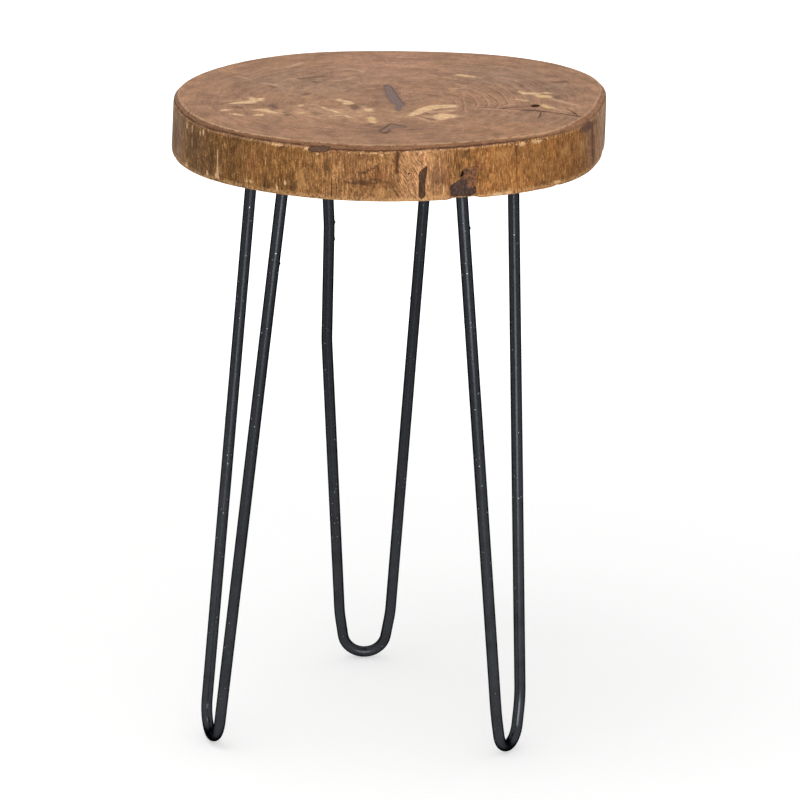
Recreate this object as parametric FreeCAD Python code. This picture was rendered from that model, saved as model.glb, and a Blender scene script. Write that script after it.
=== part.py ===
import FreeCAD, Part
import math
import os

# A low side table: one slice of a tree trunk on three bent-rod hairpin legs. Millimetres and degrees.
# +Z is up and -Y is the front. The origin is on the floor, under the middle of the slab's outline.

# The slab
table_height = 600.0
slab_diameter = 400.0
slab_thickness = 48.0
slab_flare = 1.0
top_bevel = 4.4
bottom_easing = 2.0

# The trunk's outline: lobe count, share of the radius, and where the lobe points, at the top and at the bottom
top_lobe_shares = (
    (1, 0.021, 81), (2, 0.025, 176), (3, 0.016, 94), (4, 0.015, 164), (5, 0.006, 187), (7, 0.0045, 87),
)
bottom_lobe_shares = (
    (1, 0.018, 91), (2, 0.022, 189), (3, 0.013, 120), (4, 0.018, 160), (5, 0.007, 194), (7, 0.004, 56),
)
outline_steps = 48

# Fillers and the knot, let into the slab flush with its surface
crack_fill_depth = 6.0
rim_fill_depth = 5.0
side_fill_depth = 5.0
knot_depth = 14.0
knot_hole_depth = 9.0

# Outlines on the top face, as shares of the slab's radius
centre_crack_shares = (
    (-0.029, 0.182), (0.001, 0.182), (0.032, -0.028), (0.059, -0.206), (0.047, -0.251), (0.042, -0.324),
    (0.031, -0.342), (0.023, -0.306), (0.021, -0.214), (0.004, -0.178), (-0.012, -0.085), (-0.023, 0.066),
)
arc_crack_shares = (
    (-0.046, -0.727), (-0.017, -0.640), (-0.001, -0.590), (0.030, -0.616), (0.064, -0.643),
    (0.026, -0.670), (0.000, -0.695), (-0.013, -0.744), (-0.031, -0.761),
)
knot_hole_shares = ((0.609, -0.237), (0.632, -0.206), (0.652, -0.237), (0.629, -0.268))

# Outlines on the side, as shares: along the rim in slab radii, and down from the top in slab thicknesses
rim_fill_bearing = -107.4
rim_fill_shares = (
    (-0.050, 0.12), (-0.026, 0.07), (0.010, 0.05), (0.046, 0.06), (0.056, 0.09),
    (0.028, 0.15), (-0.012, 0.17), (-0.043, 0.16),
)
side_crack_bearing = -82.5
side_crack_shares = (
    (0.016, 0.38), (0.019, 0.50), (0.009, 0.68), (0.005, 0.93), (-0.016, 0.93), (-0.016, 0.67),
    (-0.012, 0.50), (0.000, 0.43),
)
side_knot_bearing = -72.2
side_knot_shares = (
    (-0.016, 0.52), (-0.007, 0.45), (0.059, 0.47), (0.056, 0.65), (0.051, 0.80), (0.049, 0.91),
    (0.030, 0.94), (-0.038, 0.94), (-0.060, 0.91), (-0.065, 0.75), (-0.042, 0.69), (-0.024, 0.62),
)

# The hairpin rods
rod_diameter = 10.6
rod_spacing = 104.0
weld_reach = 3.5
weld_height = 4.5
weld_lip = 1.0

# Each leg: where its plate sits, which way it faces, how far its foot stands out and to the side, and the bend there
left_reach_share = 0.580
left_bearing_angle = -157.8
left_facing_angle = 196.8
left_splay = 59.6
left_lean = -12.0
left_bend_radius = 25.3
back_reach_share = 0.472
back_bearing_angle = 99.5
back_facing_angle = 91.5
back_splay = 58.4
back_lean = 9.5
back_bend_radius = 21.3
right_reach_share = 0.529
right_bearing_angle = -36.6
right_facing_angle = 331.4
right_splay = 26.2
right_lean = 0.0
right_bend_radius = 19.5

# Rods that aren't quite straight: shares of the leg's length down, and of half the rod spacing across
straight_shares = ((0.0, 1.0),)
back_inner_shares = ((0.0, 1.0), (0.92, 0.310))
back_kink_shares = ((0.0, 0.855), (0.174, 0.798), (0.385, 0.856), (0.92, 0.651))
right_inner_shares = ((0.0, 1.0), (0.93, 0.440))
right_bow_shares = ((0.0, 0.950), (0.487, 0.723), (0.93, 0.510))
kink_radius = 150.0
bow_radius = 4000.0
kink_run_share = 0.45

# The mounting plates
plate_thickness = 4.0
plate_width = 50.0
plate_margin = 8.0
plate_corner = 8.0

# The wood screws
screw_diameter = 4.5
screw_core = 3.2
screw_bite = 22.0
screw_pitch = 2.0
screw_point = 4.0
head_diameter = 9.0
head_height = 2.6
head_round = 1.2
head_gap = 3.0
recess_length = 5.4
recess_width = 1.1
recess_depth = 1.5
screw_edge = 9.0
hole_clearance = 0.5

overrun = 1.0

slab_radius = slab_diameter / 2
slab_bottom = table_height - slab_thickness
plate_bottom = slab_bottom - plate_thickness
rod_radius = rod_diameter / 2
plate_length = rod_spacing + rod_diameter + 2 * plate_margin
weld_radius = rod_radius + weld_reach
screw_radius = screw_diameter / 2
head_radius = head_diameter / 2


def direction(bearing):
    """The level unit vector that points along a bearing."""
    angle = math.radians(bearing)
    return FreeCAD.Vector(math.cos(angle), math.sin(angle), 0)


def outline_radius(bearing, radius, lobe_shares):
    """How far the trunk's outline stands out at a bearing."""
    swell = 1.0
    for count, share, phase in lobe_shares:
        swell += share * math.cos(math.radians(count * bearing - phase))
    return radius * swell


def closed_wire(points):
    """A smooth closed wire through the points."""
    curve = Part.BSplineCurve()
    curve.interpolate(Points=points, PeriodicFlag=True)
    return Part.Wire([curve.toShape()])


def ring(height, radius, lobe_shares):
    """The trunk's outline at a height."""
    points = []
    for step in range(outline_steps):
        bearing = 360.0 * step / outline_steps
        place = direction(bearing) * outline_radius(bearing, radius, lobe_shares)
        points.append(FreeCAD.Vector(place.x, place.y, height))
    return closed_wire(points)


def make_slab_blank():
    """The slice of trunk before it is bored: eased below, bevelled above."""
    lower_radius = slab_radius + slab_flare
    rings = [
        ring(slab_bottom, lower_radius - bottom_easing, bottom_lobe_shares),
        ring(slab_bottom + bottom_easing, lower_radius, bottom_lobe_shares),
        ring(table_height - top_bevel, slab_radius, top_lobe_shares),
        ring(table_height, slab_radius - top_bevel, top_lobe_shares),
    ]
    return Part.makeLoft(rings, True, True)


def top_prism(shares, depth):
    """An upright prism under an outline on the top face."""
    floor = table_height - depth
    points = []
    for across, along in shares:
        points.append(FreeCAD.Vector(across * slab_radius, along * slab_radius, floor))
    return Part.Face(closed_wire(points)).extrude(FreeCAD.Vector(0, 0, depth + overrun))


def side_prism(bearing, shares, depth):
    """A level prism behind an outline on the side, as deep as the slab is at that bearing."""
    outward = direction(bearing)
    along = direction(bearing + 90)
    rim = outline_radius(bearing, slab_radius, top_lobe_shares)
    points = []
    for across, down in shares:
        place = outward * (rim - depth) + along * (across * slab_radius)
        points.append(FreeCAD.Vector(place.x, place.y, table_height - down * slab_thickness))
    return Part.Face(closed_wire(points)).extrude(outward * (2 * depth))


def plate_placement(mid, facing):
    """The plate's frame: X along the rods' spread, Z up, zero at its underside."""
    turn = FreeCAD.Rotation(FreeCAD.Vector(0, 0, 1), facing + 90)
    return FreeCAD.Placement(FreeCAD.Vector(mid.x, mid.y, plate_bottom), turn)


def screw_places():
    """Where the four screws pass through a plate, in the plate's frame."""
    across = rod_spacing / 2 - weld_radius - head_gap - head_radius
    along = plate_width / 2 - screw_edge
    return [(x, y) for x in (-across, across) for y in (-along, along)]


def make_plate(placement):
    """A flat steel plate with rounded corners and four clearance holes."""
    blank = Part.makeBox(
        plate_length, plate_width, plate_thickness, FreeCAD.Vector(-plate_length / 2, -plate_width / 2, 0)
    )
    corners = [edge for edge in blank.Edges if abs(edge.tangentAt(edge.FirstParameter).z) > 0.5]
    plate = blank.makeFillet(plate_corner, corners)
    for x, y in screw_places():
        foot = FreeCAD.Vector(x, y, -overrun)
        plate = plate.cut(Part.makeCylinder(screw_radius + hole_clearance, plate_thickness + 2 * overrun, foot))
    plate.Placement = placement
    return plate


def make_screw():
    """A pan-head wood screw, point up, with the underside of its head at zero."""
    length = plate_thickness + screw_bite
    core_radius = screw_core / 2
    thread_start = plate_thickness + screw_pitch
    turns = int((length - screw_point - thread_start) / screw_pitch)
    profile = [(0, -head_height), (head_radius - head_round, -head_height), (head_radius, head_round - head_height)]
    profile += [(head_radius, 0), (screw_radius, 0), (screw_radius, plate_thickness), (core_radius, thread_start)]
    for turn in range(turns):
        base = thread_start + turn * screw_pitch
        profile += [(screw_radius, base + screw_pitch / 2), (core_radius, base + screw_pitch)]
    profile.append((0, length))
    points = [FreeCAD.Vector(out, 0, up) for out, up in profile]
    section = Part.Face(Part.makePolygon(points + [points[0]]))
    screw = section.revolve(FreeCAD.Vector(0, 0, 0), FreeCAD.Vector(0, 0, 1), 360)
    for long_side, short_side in ((recess_length, recess_width), (recess_width, recess_length)):
        corner = FreeCAD.Vector(-long_side / 2, -short_side / 2, -head_height - overrun)
        screw = screw.cut(Part.makeBox(long_side, short_side, recess_depth + overrun, corner))
    return screw


def make_screws(placement):
    """The four screws of a plate, as separate solids."""
    screws = []
    for x, y in screw_places():
        screw = make_screw()
        screw.Placement = placement.multiply(FreeCAD.Placement(FreeCAD.Vector(x, y, 0), FreeCAD.Rotation()))
        screws.append(screw)
    return Part.makeCompound(screws)


def tangent_point(start, centre, side, bend_radius):
    """Where a line from a point meets the foot's bend, on the side that the rod runs down."""
    away = centre - start
    distance = math.hypot(away.x, away.y)
    heading = math.atan2(away.y, away.x) - side * math.asin(bend_radius / distance)
    run = math.sqrt(distance ** 2 - bend_radius ** 2)
    return start + FreeCAD.Vector(run * math.cos(heading), run * math.sin(heading), 0)


def rounded_run(points, radius):
    """Straight runs through flat points, with a tangent arc at each point between them."""
    edges = []
    start = points[0]
    for before, corner, after in zip(points, points[1:], points[2:]):
        back = (before - corner).normalize()
        ahead = (after - corner).normalize()
        half_turn = (math.pi - back.getAngle(ahead)) / 2
        shorter = min(before.distanceToPoint(corner), after.distanceToPoint(corner))
        reach = min(radius * math.tan(half_turn), kink_run_share * shorter)
        arc_radius = reach / math.tan(half_turn)
        middle = corner + (back + ahead).normalize() * (arc_radius / math.cos(half_turn) - arc_radius)
        edges.append(Part.makeLine(start, corner + back * reach))
        edges.append(Part.Arc(corner + back * reach, middle, corner + ahead * reach).toShape())
        start = corner + ahead * reach
    edges.append(Part.makeLine(start, points[-1]))
    return edges


def hairpin_path(length, lean, bend_radius, minus_shares, plus_shares, radius):
    """The rod's centreline in its own plane: X across, Y down the leg."""
    centre = FreeCAD.Vector(lean, length - bend_radius, 0)
    sides = []
    for side, shares in ((-1, minus_shares), (1, plus_shares)):
        points = [FreeCAD.Vector(side * across * rod_spacing / 2, down * length, 0) for down, across in shares]
        points.append(tangent_point(points[-1], centre, side, bend_radius))
        upward = (points[0] - points[1]).normalize()
        points[0] = points[0] + upward * rod_diameter
        sides.append(points)
    minus, plus = sides
    bottom = centre + FreeCAD.Vector(0, bend_radius, 0)
    edges = rounded_run(minus, radius)
    edges.append(Part.Arc(minus[-1], bottom, plus[-1]).toShape())
    edges += rounded_run(plus[::-1], radius)
    return Part.Wire(edges), minus[0], (minus[1] - minus[0]).normalize()


def make_rod(mid, facing, splay, lean, bend_radius, minus_shares, plus_shares, radius):
    """A round rod bent to a hairpin, its two ends cut level with the plate's underside."""
    drop = plate_bottom - rod_radius
    length = math.hypot(splay, drop)
    path, start, heading = hairpin_path(length, lean, bend_radius, minus_shares, plus_shares, radius)
    section = Part.Wire([Part.makeCircle(rod_radius, start, heading)])
    rod = path.makePipeShell([section], True, False)
    across = direction(facing + 90)
    down = (direction(facing) * splay - FreeCAD.Vector(0, 0, drop)).normalize()
    lie = FreeCAD.Rotation(across, down, across.cross(down), "XYZ")
    rod.Placement = FreeCAD.Placement(FreeCAD.Vector(mid.x, mid.y, plate_bottom), lie)
    above = Part.makeBox(
        2 * table_height, 2 * table_height, table_height,
        FreeCAD.Vector(mid.x - table_height, mid.y - table_height, plate_bottom),
    )
    return rod.cut(above)


def make_welds(rod, placement, top_shares):
    """A bead round each end of the rod, against the plate."""
    beads = []
    for side, share in zip((-1, 1), top_shares):
        foot = FreeCAD.Vector(side * share * rod_spacing / 2, 0, -weld_height)
        bead = Part.makeCone(rod_radius + weld_lip, weld_radius, weld_height, foot)
        bead.Placement = placement
        beads.append(bead.cut(rod))
    return Part.makeCompound(beads)


def save(shape, node):
    """Writes a piece and prints how many solids it holds."""
    shape.exportStep("parts/" + node + ".step")
    print(node, len(shape.Solids), "solids", round(shape.Volume), "mm3", "valid" if shape.isValid() else "INVALID")


legs = {
    "left_leg": (
        left_reach_share, left_bearing_angle, left_facing_angle, left_splay, left_lean, left_bend_radius,
        straight_shares, straight_shares, kink_radius,
    ),
    "back_leg": (
        back_reach_share, back_bearing_angle, back_facing_angle, back_splay, back_lean, back_bend_radius,
        back_inner_shares, back_kink_shares, kink_radius,
    ),
    "right_leg": (
        right_reach_share, right_bearing_angle, right_facing_angle, right_splay, right_lean, right_bend_radius,
        right_inner_shares, right_bow_shares, bow_radius,
    ),
}

os.makedirs("parts", exist_ok=True)

blank = make_slab_blank()
inlays = {
    "centre_crack_fill": top_prism(centre_crack_shares, crack_fill_depth),
    "arc_crack_fill": top_prism(arc_crack_shares, crack_fill_depth),
    "rim_fill": side_prism(rim_fill_bearing, rim_fill_shares, rim_fill_depth),
    "side_crack_fill": side_prism(side_crack_bearing, side_crack_shares, side_fill_depth),
    "side_knot": side_prism(side_knot_bearing, side_knot_shares, knot_depth),
}
slab = blank.cut(top_prism(knot_hole_shares, knot_hole_depth))
for node, prism in inlays.items():
    save(blank.common(prism), node)
    slab = slab.cut(prism)

for leg, values in legs.items():
    reach_share, bearing, facing, splay, lean, bend_radius, minus_shares, plus_shares, radius = values
    mid = direction(bearing) * (reach_share * slab_radius)
    placement = plate_placement(mid, facing)
    rod = make_rod(mid, facing, splay, lean, bend_radius, minus_shares, plus_shares, radius)
    screws = make_screws(placement)
    for screw in screws.Solids:
        slab = slab.cut(screw)
    save(rod, leg + "_rod")
    save(make_plate(placement), leg + "_plate")
    save(make_welds(rod, placement, (minus_shares[0][1], plus_shares[0][1])), leg + "_welds")
    save(screws, leg + "_screws")

save(slab, "top_slab")
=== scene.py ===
import bpy
import bmesh
import math
import numpy as np
from mathutils import Matrix, Vector


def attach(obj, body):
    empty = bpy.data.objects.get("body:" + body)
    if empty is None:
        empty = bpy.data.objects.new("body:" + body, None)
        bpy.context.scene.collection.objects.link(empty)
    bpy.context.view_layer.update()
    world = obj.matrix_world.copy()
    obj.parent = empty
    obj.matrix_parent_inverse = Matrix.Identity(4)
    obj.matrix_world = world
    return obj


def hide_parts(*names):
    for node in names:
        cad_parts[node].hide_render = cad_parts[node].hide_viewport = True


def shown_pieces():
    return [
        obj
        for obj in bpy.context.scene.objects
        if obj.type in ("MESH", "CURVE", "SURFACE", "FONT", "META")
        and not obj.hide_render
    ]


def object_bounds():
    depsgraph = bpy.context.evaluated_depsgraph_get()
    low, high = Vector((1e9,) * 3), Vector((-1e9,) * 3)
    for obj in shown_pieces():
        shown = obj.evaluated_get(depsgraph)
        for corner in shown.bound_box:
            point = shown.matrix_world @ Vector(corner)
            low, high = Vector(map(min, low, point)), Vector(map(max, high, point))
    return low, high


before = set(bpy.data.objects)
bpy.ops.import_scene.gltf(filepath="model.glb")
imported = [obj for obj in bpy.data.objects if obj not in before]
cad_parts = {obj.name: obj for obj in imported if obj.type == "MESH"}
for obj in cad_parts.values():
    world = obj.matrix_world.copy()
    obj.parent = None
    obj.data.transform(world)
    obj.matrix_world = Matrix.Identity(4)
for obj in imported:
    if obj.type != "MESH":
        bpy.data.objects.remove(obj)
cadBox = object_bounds()
mm = 0.001

# Places are in millimetres in the table's own frame, and meshes are written in metres.
# The table stands on z = 0, its front looks to -Y, and bearings are degrees round from +X.

print("stage: helpers")


def smoothStep(low, high, value):
    share = np.clip((value - low) / (high - low), 0, 1)
    return share * share * (3 - 2 * share)


def bell(value, middle, wide, power=2):
    # 1 at the middle, about a third at the half width, and soon nothing beyond it
    return np.exp(-((value - middle) / wide) ** power)


def polar(radius, angle, height):
    return np.stack([radius * np.cos(angle), radius * np.sin(angle), height + 0 * angle], -1)


def turnFrom(middle, bearing):
    # degrees round from one bearing to another, from -180 to 180
    return (bearing - middle + 180) % 360 - 180


def unevenness(across, down, period, seed):
    # smooth bumps from -1 to 1, one a cell, that meet again after a whole number of cells across
    cellX, cellY = np.floor(across).astype(int), np.floor(down).astype(int)
    shareX, shareY = across - cellX, down - cellY
    shareX, shareY = shareX * shareX * (3 - 2 * shareX), shareY * shareY * (3 - 2 * shareY)

    def corner(x, y):
        mixed = np.sin((x % period) * 127.1 + y * 311.7 + seed * 74.7) * 43758.5453
        return (mixed - np.floor(mixed)) * 2 - 1

    near = corner(cellX, cellY) * (1 - shareX) + corner(cellX + 1, cellY) * shareX
    far = corner(cellX, cellY + 1) * (1 - shareX) + corner(cellX + 1, cellY + 1) * shareX
    return near * (1 - shareY) + far * shareY


def softCurve(points, steps):
    # a smooth closed line through the points
    points = np.array(points, float)
    before, after, beyond = np.roll(points, 1, 0), np.roll(points, -1, 0), np.roll(points, -2, 0)
    line = []
    for step in range(steps):
        t = step / steps
        line.append(.5 * (2 * points + (after - before) * t
                          + (2 * before - 5 * points + 4 * after - beyond) * t ** 2
                          + (3 * points - before - 3 * after + beyond) * t ** 3))
    return np.stack(line, 1).reshape(-1, 2)


def raggedOutline(points, amount, seed):
    # a worn edge: the smooth line with small steps in and out along it
    line = softCurve(points, 7)
    middle = line.mean(0)
    away = line - middle
    away /= np.maximum(np.linalg.norm(away, axis=1), 1e-6)[:, None]
    shift = unevenness(np.arange(len(line)) * .5, np.zeros(len(line)), 9999, seed)
    shift += .6 * unevenness(np.arange(len(line)) * 1.3, np.zeros(len(line)), 9999, seed + 1)
    return line + away * (amount * shift)[:, None]


def stretchDistance(x, y, start, end):
    # how far each point lies from a straight stretch
    (ax, ay), (bx, by) = start, end
    wayX, wayY = bx - ax, by - ay
    share = np.clip(((x - ax) * wayX + (y - ay) * wayY) / max(wayX ** 2 + wayY ** 2, 1e-9), 0, 1)
    return np.hypot(x - ax - share * wayX, y - ay - share * wayY)


def pickedAt(line, run, marks):
    # the line's values where its run, given at its points, comes to the marks
    return np.stack([np.interp(marks, run, values) for values in np.array(line, float).T], 1)


def finer(path, count):
    # the same line with more points, spread evenly between its corners
    return pickedAt(path, np.arange(len(path)), np.linspace(0, len(path) - 1, count))


def lineDistance(x, y, path):
    return np.minimum.reduce([stretchDistance(x, y, *ends) for ends in zip(path, path[1:])])


def insideDistance(x, y, outline):
    # how far each point lies inside the outline; outside it is negative
    outline = np.array(outline, float)
    inside = np.zeros(x.shape, bool)
    for (ax, ay), (bx, by) in zip(outline, np.roll(outline, -1, 0)):
        crosses = (ay > y) != (by > y)
        inside ^= crosses & (x < (bx - ax) * (y - ay) / ((by - ay) or 1e-9) + ax)
    nearest = lineDistance(x, y, np.concatenate([outline, outline[:1]]))
    return np.where(inside, nearest, -nearest)


def makeMesh(name, points, faces):
    mesh = bpy.data.meshes.new(name)
    mesh.from_pydata((np.asarray(points, float) * mm).tolist(), [], [list(face) for face in faces])
    mesh.update()
    piece = bpy.data.objects.new(name, mesh)
    bpy.context.scene.collection.objects.link(piece)
    return piece


def reworked(piece, change):
    work = bmesh.new()
    work.from_mesh(piece.data)
    change(work)
    work.to_mesh(piece.data)
    work.free()
    return piece


def faceOut(piece):
    return reworked(piece, lambda work: bmesh.ops.recalc_face_normals(work, faces=work.faces))


def shadeSmooth(piece, sharpAngle):
    # smooth shading with a hard edge wherever two faces meet steeply
    def shade(work):
        for face in work.faces:
            face.smooth = True
        for edge in work.edges:
            edge.smooth = not edge.is_manifold or edge.calc_face_angle(0) < math.radians(sharpAngle)

    return reworked(piece, shade)


def carve(piece, cutters, operation="DIFFERENCE"):
    for cutter in cutters:
        step = piece.modifiers.new("carve", "BOOLEAN")
        step.operation = operation
        step.solver = "MANIFOLD"
        step.object = cutter
    bpy.context.view_layer.update()
    carved = bpy.data.meshes.new_from_object(piece.evaluated_get(bpy.context.evaluated_depsgraph_get()))
    piece.modifiers.clear()
    piece.data = carved
    return piece


def prism(name, outline, near, far):
    # a closed solid between two copies of an outline; near and far turn its flat points into places
    outline = np.asarray(outline, float)
    count = len(outline)
    points = np.concatenate([near(outline), far(outline)])
    faces = [tuple(range(count))[::-1], tuple(range(count, 2 * count))]
    faces += [(i, (i + 1) % count, count + (i + 1) % count, count + i) for i in range(count)]
    return faceOut(makeMesh(name, points, faces))


def groove(name, path, widths, depths, outward, proud=.8):
    # a closed wedge along a line on a surface: wide above the surface, a point at its depth
    path, outward = np.array(path, float), np.array(outward, float)
    widths, depths = np.array(widths, float), np.array(depths, float)
    along = np.gradient(path, axis=0)
    side = np.cross(along, outward)
    side /= np.linalg.norm(side, axis=1)[:, None]
    spread = (widths / 2 * (1 + proud / depths))[:, None]
    left, right = path + outward * proud - side * spread, path + outward * proud + side * spread
    foot = path - outward * depths[:, None]
    points = np.stack([left, right, foot], 1).reshape(-1, 3)
    faces = [(0, 1, 2), (3 * len(path) - 1, 3 * len(path) - 2, 3 * len(path) - 3)]
    for i in range(len(path) - 1):
        a, b = 3 * i, 3 * i + 3
        faces += [(a, a + 1, b + 1, b), (a + 1, a + 2, b + 2, b + 1), (a + 2, a, b, b + 2)]
    return faceOut(makeMesh(name, points, faces))


def writeValues(piece, name, values):
    layer = piece.data.attributes.new(name, "FLOAT", "POINT")
    layer.data.foreach_set("value", np.ascontiguousarray(values, np.float32))


def writeColours(piece, name, colours):
    layer = piece.data.attributes.new(name, "FLOAT_COLOR", "POINT")
    full = np.concatenate([colours, np.ones((len(colours), 1))], 1)
    layer.data.foreach_set("color", np.ascontiguousarray(full, np.float32).ravel())


def places(piece):
    flat = np.empty(len(piece.data.vertices) * 3, np.float32)
    piece.data.vertices.foreach_get("co", flat)
    return flat.reshape(-1, 3).astype(float) / mm


def tone(red, green, blue):
    # a colour as it is seen, 0 to 255, turned into the light that a shader works in
    seen = np.array([red, green, blue]) / 255
    return tuple(np.where(seen <= .04045, seen / 12.92, ((seen + .055) / 1.055) ** 2.4))


class Nodes:
    # short ways to add and wire the nodes of one tree
    def __init__(self, tree):
        self.tree = tree
        tree.nodes.clear()

    def fill(self, node, key, value):
        # a link, a colour of three numbers as it is seen, or a value as the socket has it
        if isinstance(value, bpy.types.NodeSocket):
            self.tree.links.new(value, node.inputs[key])
        elif node.inputs[key].type == "RGBA" and len(value) == 3:
            node.inputs[key].default_value = (*tone(*value), 1)
        else:
            node.inputs[key].default_value = value

    def add(self, kind, inputs=None, **settings):
        node = self.tree.nodes.new(kind)
        for key, value in settings.items():
            setattr(node, key, value)
        for key, value in (inputs or {}).items():
            self.fill(node, key, value)
        return node

    def math(self, operation, first, second=0.0, third=0.0):
        return self.add("ShaderNodeMath", {0: first, 1: second, 2: third}, operation=operation).outputs[0]

    def times(self, product, *factors):
        for factor in factors:
            product = self.math("MULTIPLY", product, factor)
        return product

    def timesPlus(self, value, factor, more):
        return self.math("MULTIPLY_ADD", value, factor, more)

    def plus(self, first, second):
        return self.math("ADD", first, second)

    def away(self, value, middle):
        # how far a value lies from a middle one, to either side
        return self.math("ABSOLUTE", self.math("SUBTRACT", value, middle))

    def span(self, value, low, high, start=0.0, end=1.0):
        inputs = {0: value, 1: low, 2: high, 3: start, 4: end}
        return self.add("ShaderNodeMapRange", inputs, interpolation_type="SMOOTHSTEP").outputs[0]

    def mix(self, share, first, second, strength=None):
        share = share if strength is None else self.times(share, strength)
        return self.add("ShaderNodeMix", {0: share, 6: first, 7: second}, data_type="RGBA").outputs[2]

    def vector(self, operation, first, second=(0, 0, 0)):
        return self.add("ShaderNodeVectorMath", {0: first, 1: second}, operation=operation).outputs[0]

    def scale(self, vector, amount):
        return self.add("ShaderNodeVectorMath", {0: vector, 3: amount}, operation="SCALE").outputs[0]


class Finish(Nodes):
    # the nodes of one material; lengths in them are millimetres
    def __init__(self, name):
        self.material = bpy.data.materials.new(name)
        self.material.use_nodes = True
        super().__init__(self.material.node_tree)
        self.place = self.scale(self.add("ShaderNodeTexCoord").outputs["Object"], 1000.0)

    def mark(self, name, kind="Fac"):
        # a value or colour written on the mesh
        return self.add("ShaderNodeAttribute", attribute_name=name).outputs[kind]

    def noise(self, scale, detail=3.0, rough=.55, vector=None, stretch=None, distortion=0.0):
        vector = vector or self.place
        if stretch:
            vector = self.vector("MULTIPLY", vector, stretch)
        inputs = {"Vector": vector, "Scale": scale, "Detail": detail, "Roughness": rough}
        return self.add("ShaderNodeTexNoise", {**inputs, "Distortion": distortion}).outputs[0]

    def specks(self, scale, size):
        # 1 inside small scattered dots, 0 elsewhere
        cells = self.add("ShaderNodeTexVoronoi", {"Vector": self.place, "Scale": scale})
        return self.span(cells.outputs["Distance"], size, size * .6)

    def finish(self, colour, roughness, height, relief, **sockets):
        # relief is how deep the fine bumps look, in millimetres
        bump = self.add("ShaderNodeBump", {"Height": height, "Strength": 1.0, "Distance": relief * mm})
        inputs = {"Base Color": colour, "Roughness": roughness, "Normal": bump.outputs[0], **sockets}
        shader = self.add("ShaderNodeBsdfPrincipled", inputs)
        self.add("ShaderNodeOutputMaterial", {0: shader.outputs[0]})
        return self.material


def wear(piece, material):
    piece.data.materials.clear()
    piece.data.materials.append(material)


def place(piece, slot, *nodes):
    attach(piece, "root")
    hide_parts(*nodes)


def dressNode(name, material):
    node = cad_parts[name]
    if node.material_slots:
        for held in node.material_slots:
            held.material = material
    else:
        node.data.materials.append(material)


print("stage: outline of the trunk")

trunk = {
    "height": 600.0,
    "thickness": 48.0,
    "radius": 200.0,
    "flare": 1.0,
    "bevel": 4.4,
    "easing": 2.0,
    # lobes: count, share of the radius, where the lobe points
    "lobesTop": (
        (1, .021, 81), (2, .025, 176), (3, .016, 94), (4, .015, 164), (5, .006, 187), (7, .0045, 87),
    ),
    "lobesBottom": (
        (1, .018, 91), (2, .022, 189), (3, .013, 120), (4, .018, 160), (5, .007, 194), (7, .004, 56),
    ),
    "pith": (4.0, -37.0),
}


def lobed(angle, radius, lobes):
    swell = np.ones_like(angle)
    for count, share, phase in lobes:
        swell = swell + share * np.cos(count * angle - math.radians(phase))
    return radius * swell


def wallRadius(angle, drop):
    # the trunk tapers from its lower outline to its upper one; drop is the depth below the top
    straight = trunk["thickness"] - trunk["bevel"] - trunk["easing"]
    rise = np.clip((trunk["thickness"] - trunk["easing"] - drop) / straight, 0, 1)
    lower = lobed(angle, trunk["radius"] + trunk["flare"], trunk["lobesBottom"])
    upper = lobed(angle, trunk["radius"], trunk["lobesTop"])
    return lower + (upper - lower) * rise


def wallPlace(bearing, drop, out=0.0):
    angle = np.radians(np.asarray(bearing, float))
    return polar(wallRadius(angle, np.asarray(drop, float)) + out, angle, trunk["height"] - drop)


def outwardAt(bearing):
    return polar(1, np.radians(np.asarray(bearing, float)), 0)


print("stage: slab")

slabShape = {
    "columns": 720,
    "topStep": 2.4,
    "wallStep": 1.8,
    "undersideRings": 9,
    # the worn rim and the eased foot: how far in from the wall, how far below the top
    "rim": (
        (5.8, 0.0), (5.0, .02), (4.5, .1), (4.1, .32), (3.6, .8), (2.9, 1.5), (2.1, 2.25), (1.35, 3.0),
        (.7, 3.7), (.25, 4.3), (.45, 4.9), (.2, 5.6), (0.0, 6.4),
    ),
    "foot": ((0.0, 45.4), (.03, 46.3), (.12, 47.0), (.35, 47.6), (.9, 48.0)),
    "fluteDepth": .5,
    "hollowDepth": .75,
    # patterns of the side: how many round the trunk, how long down it, where it starts, seed
    "fibres": (400, 24, 0, 3),
    "strands": (180, 32, 5, 7),
    "hollows": (52, 44, 9, 12),
    # how much of the relief stands out past the plain wall
    "relief": .62,
    # small chips under the rim and along the foot: how many round the trunk, where they start, seed, depth
    "rimChips": (240, 3, 21, .7),
    "footChips": (200, 8, 33, .9),
    "bevelWear": .2,
    # the lower edge broken away upward: bearings where it starts, is full, fades and ends, and how high
    "brokenFoot": (-76.8, -74.6, -69.8, -68.0, 1.5),
    "footNick": (-46.0, .8, .8),
    "footUnevenness": .12,
    "topUnevenness": .14,
    "sharpAngle": 38,
}


def wallRelief(angle, drop):
    # how far in from the plain wall: upright fibres, peeled hollows, worn bevel and small chips
    arc = (angle / (2 * math.pi)) % 1.0
    onWall = smoothStep(5.2, 7.5, drop)

    def pattern(name):
        count, run, start, seed = slabShape[name]
        return unevenness(arc * count, drop / run + start, count, seed)

    def chips(name):
        count, start, seed, deep = slabShape[name]
        return deep * smoothStep(.3, .8, unevenness(arc * count, drop * 0 + start, count, seed))

    fine, middle, broad = pattern("fibres"), pattern("strands"), pattern("hollows")
    depth = onWall * slabShape["fluteDepth"] * (.5 - .2 * fine - .3 * middle)
    depth += onWall * slabShape["hollowDepth"] * (.5 - .5 * broad)
    depth += chips("rimChips") * bell(drop, 6.6, 1.8)
    depth += chips("footChips") * smoothStep(42.5, 47, drop)
    onBevel = smoothStep(0, 1.0, drop) * (1 - onWall)
    depth += slabShape["bevelWear"] * onBevel * unevenness(arc * 130, drop / 3, 130, 41)
    return depth - onWall * slabShape["relief"]


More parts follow.
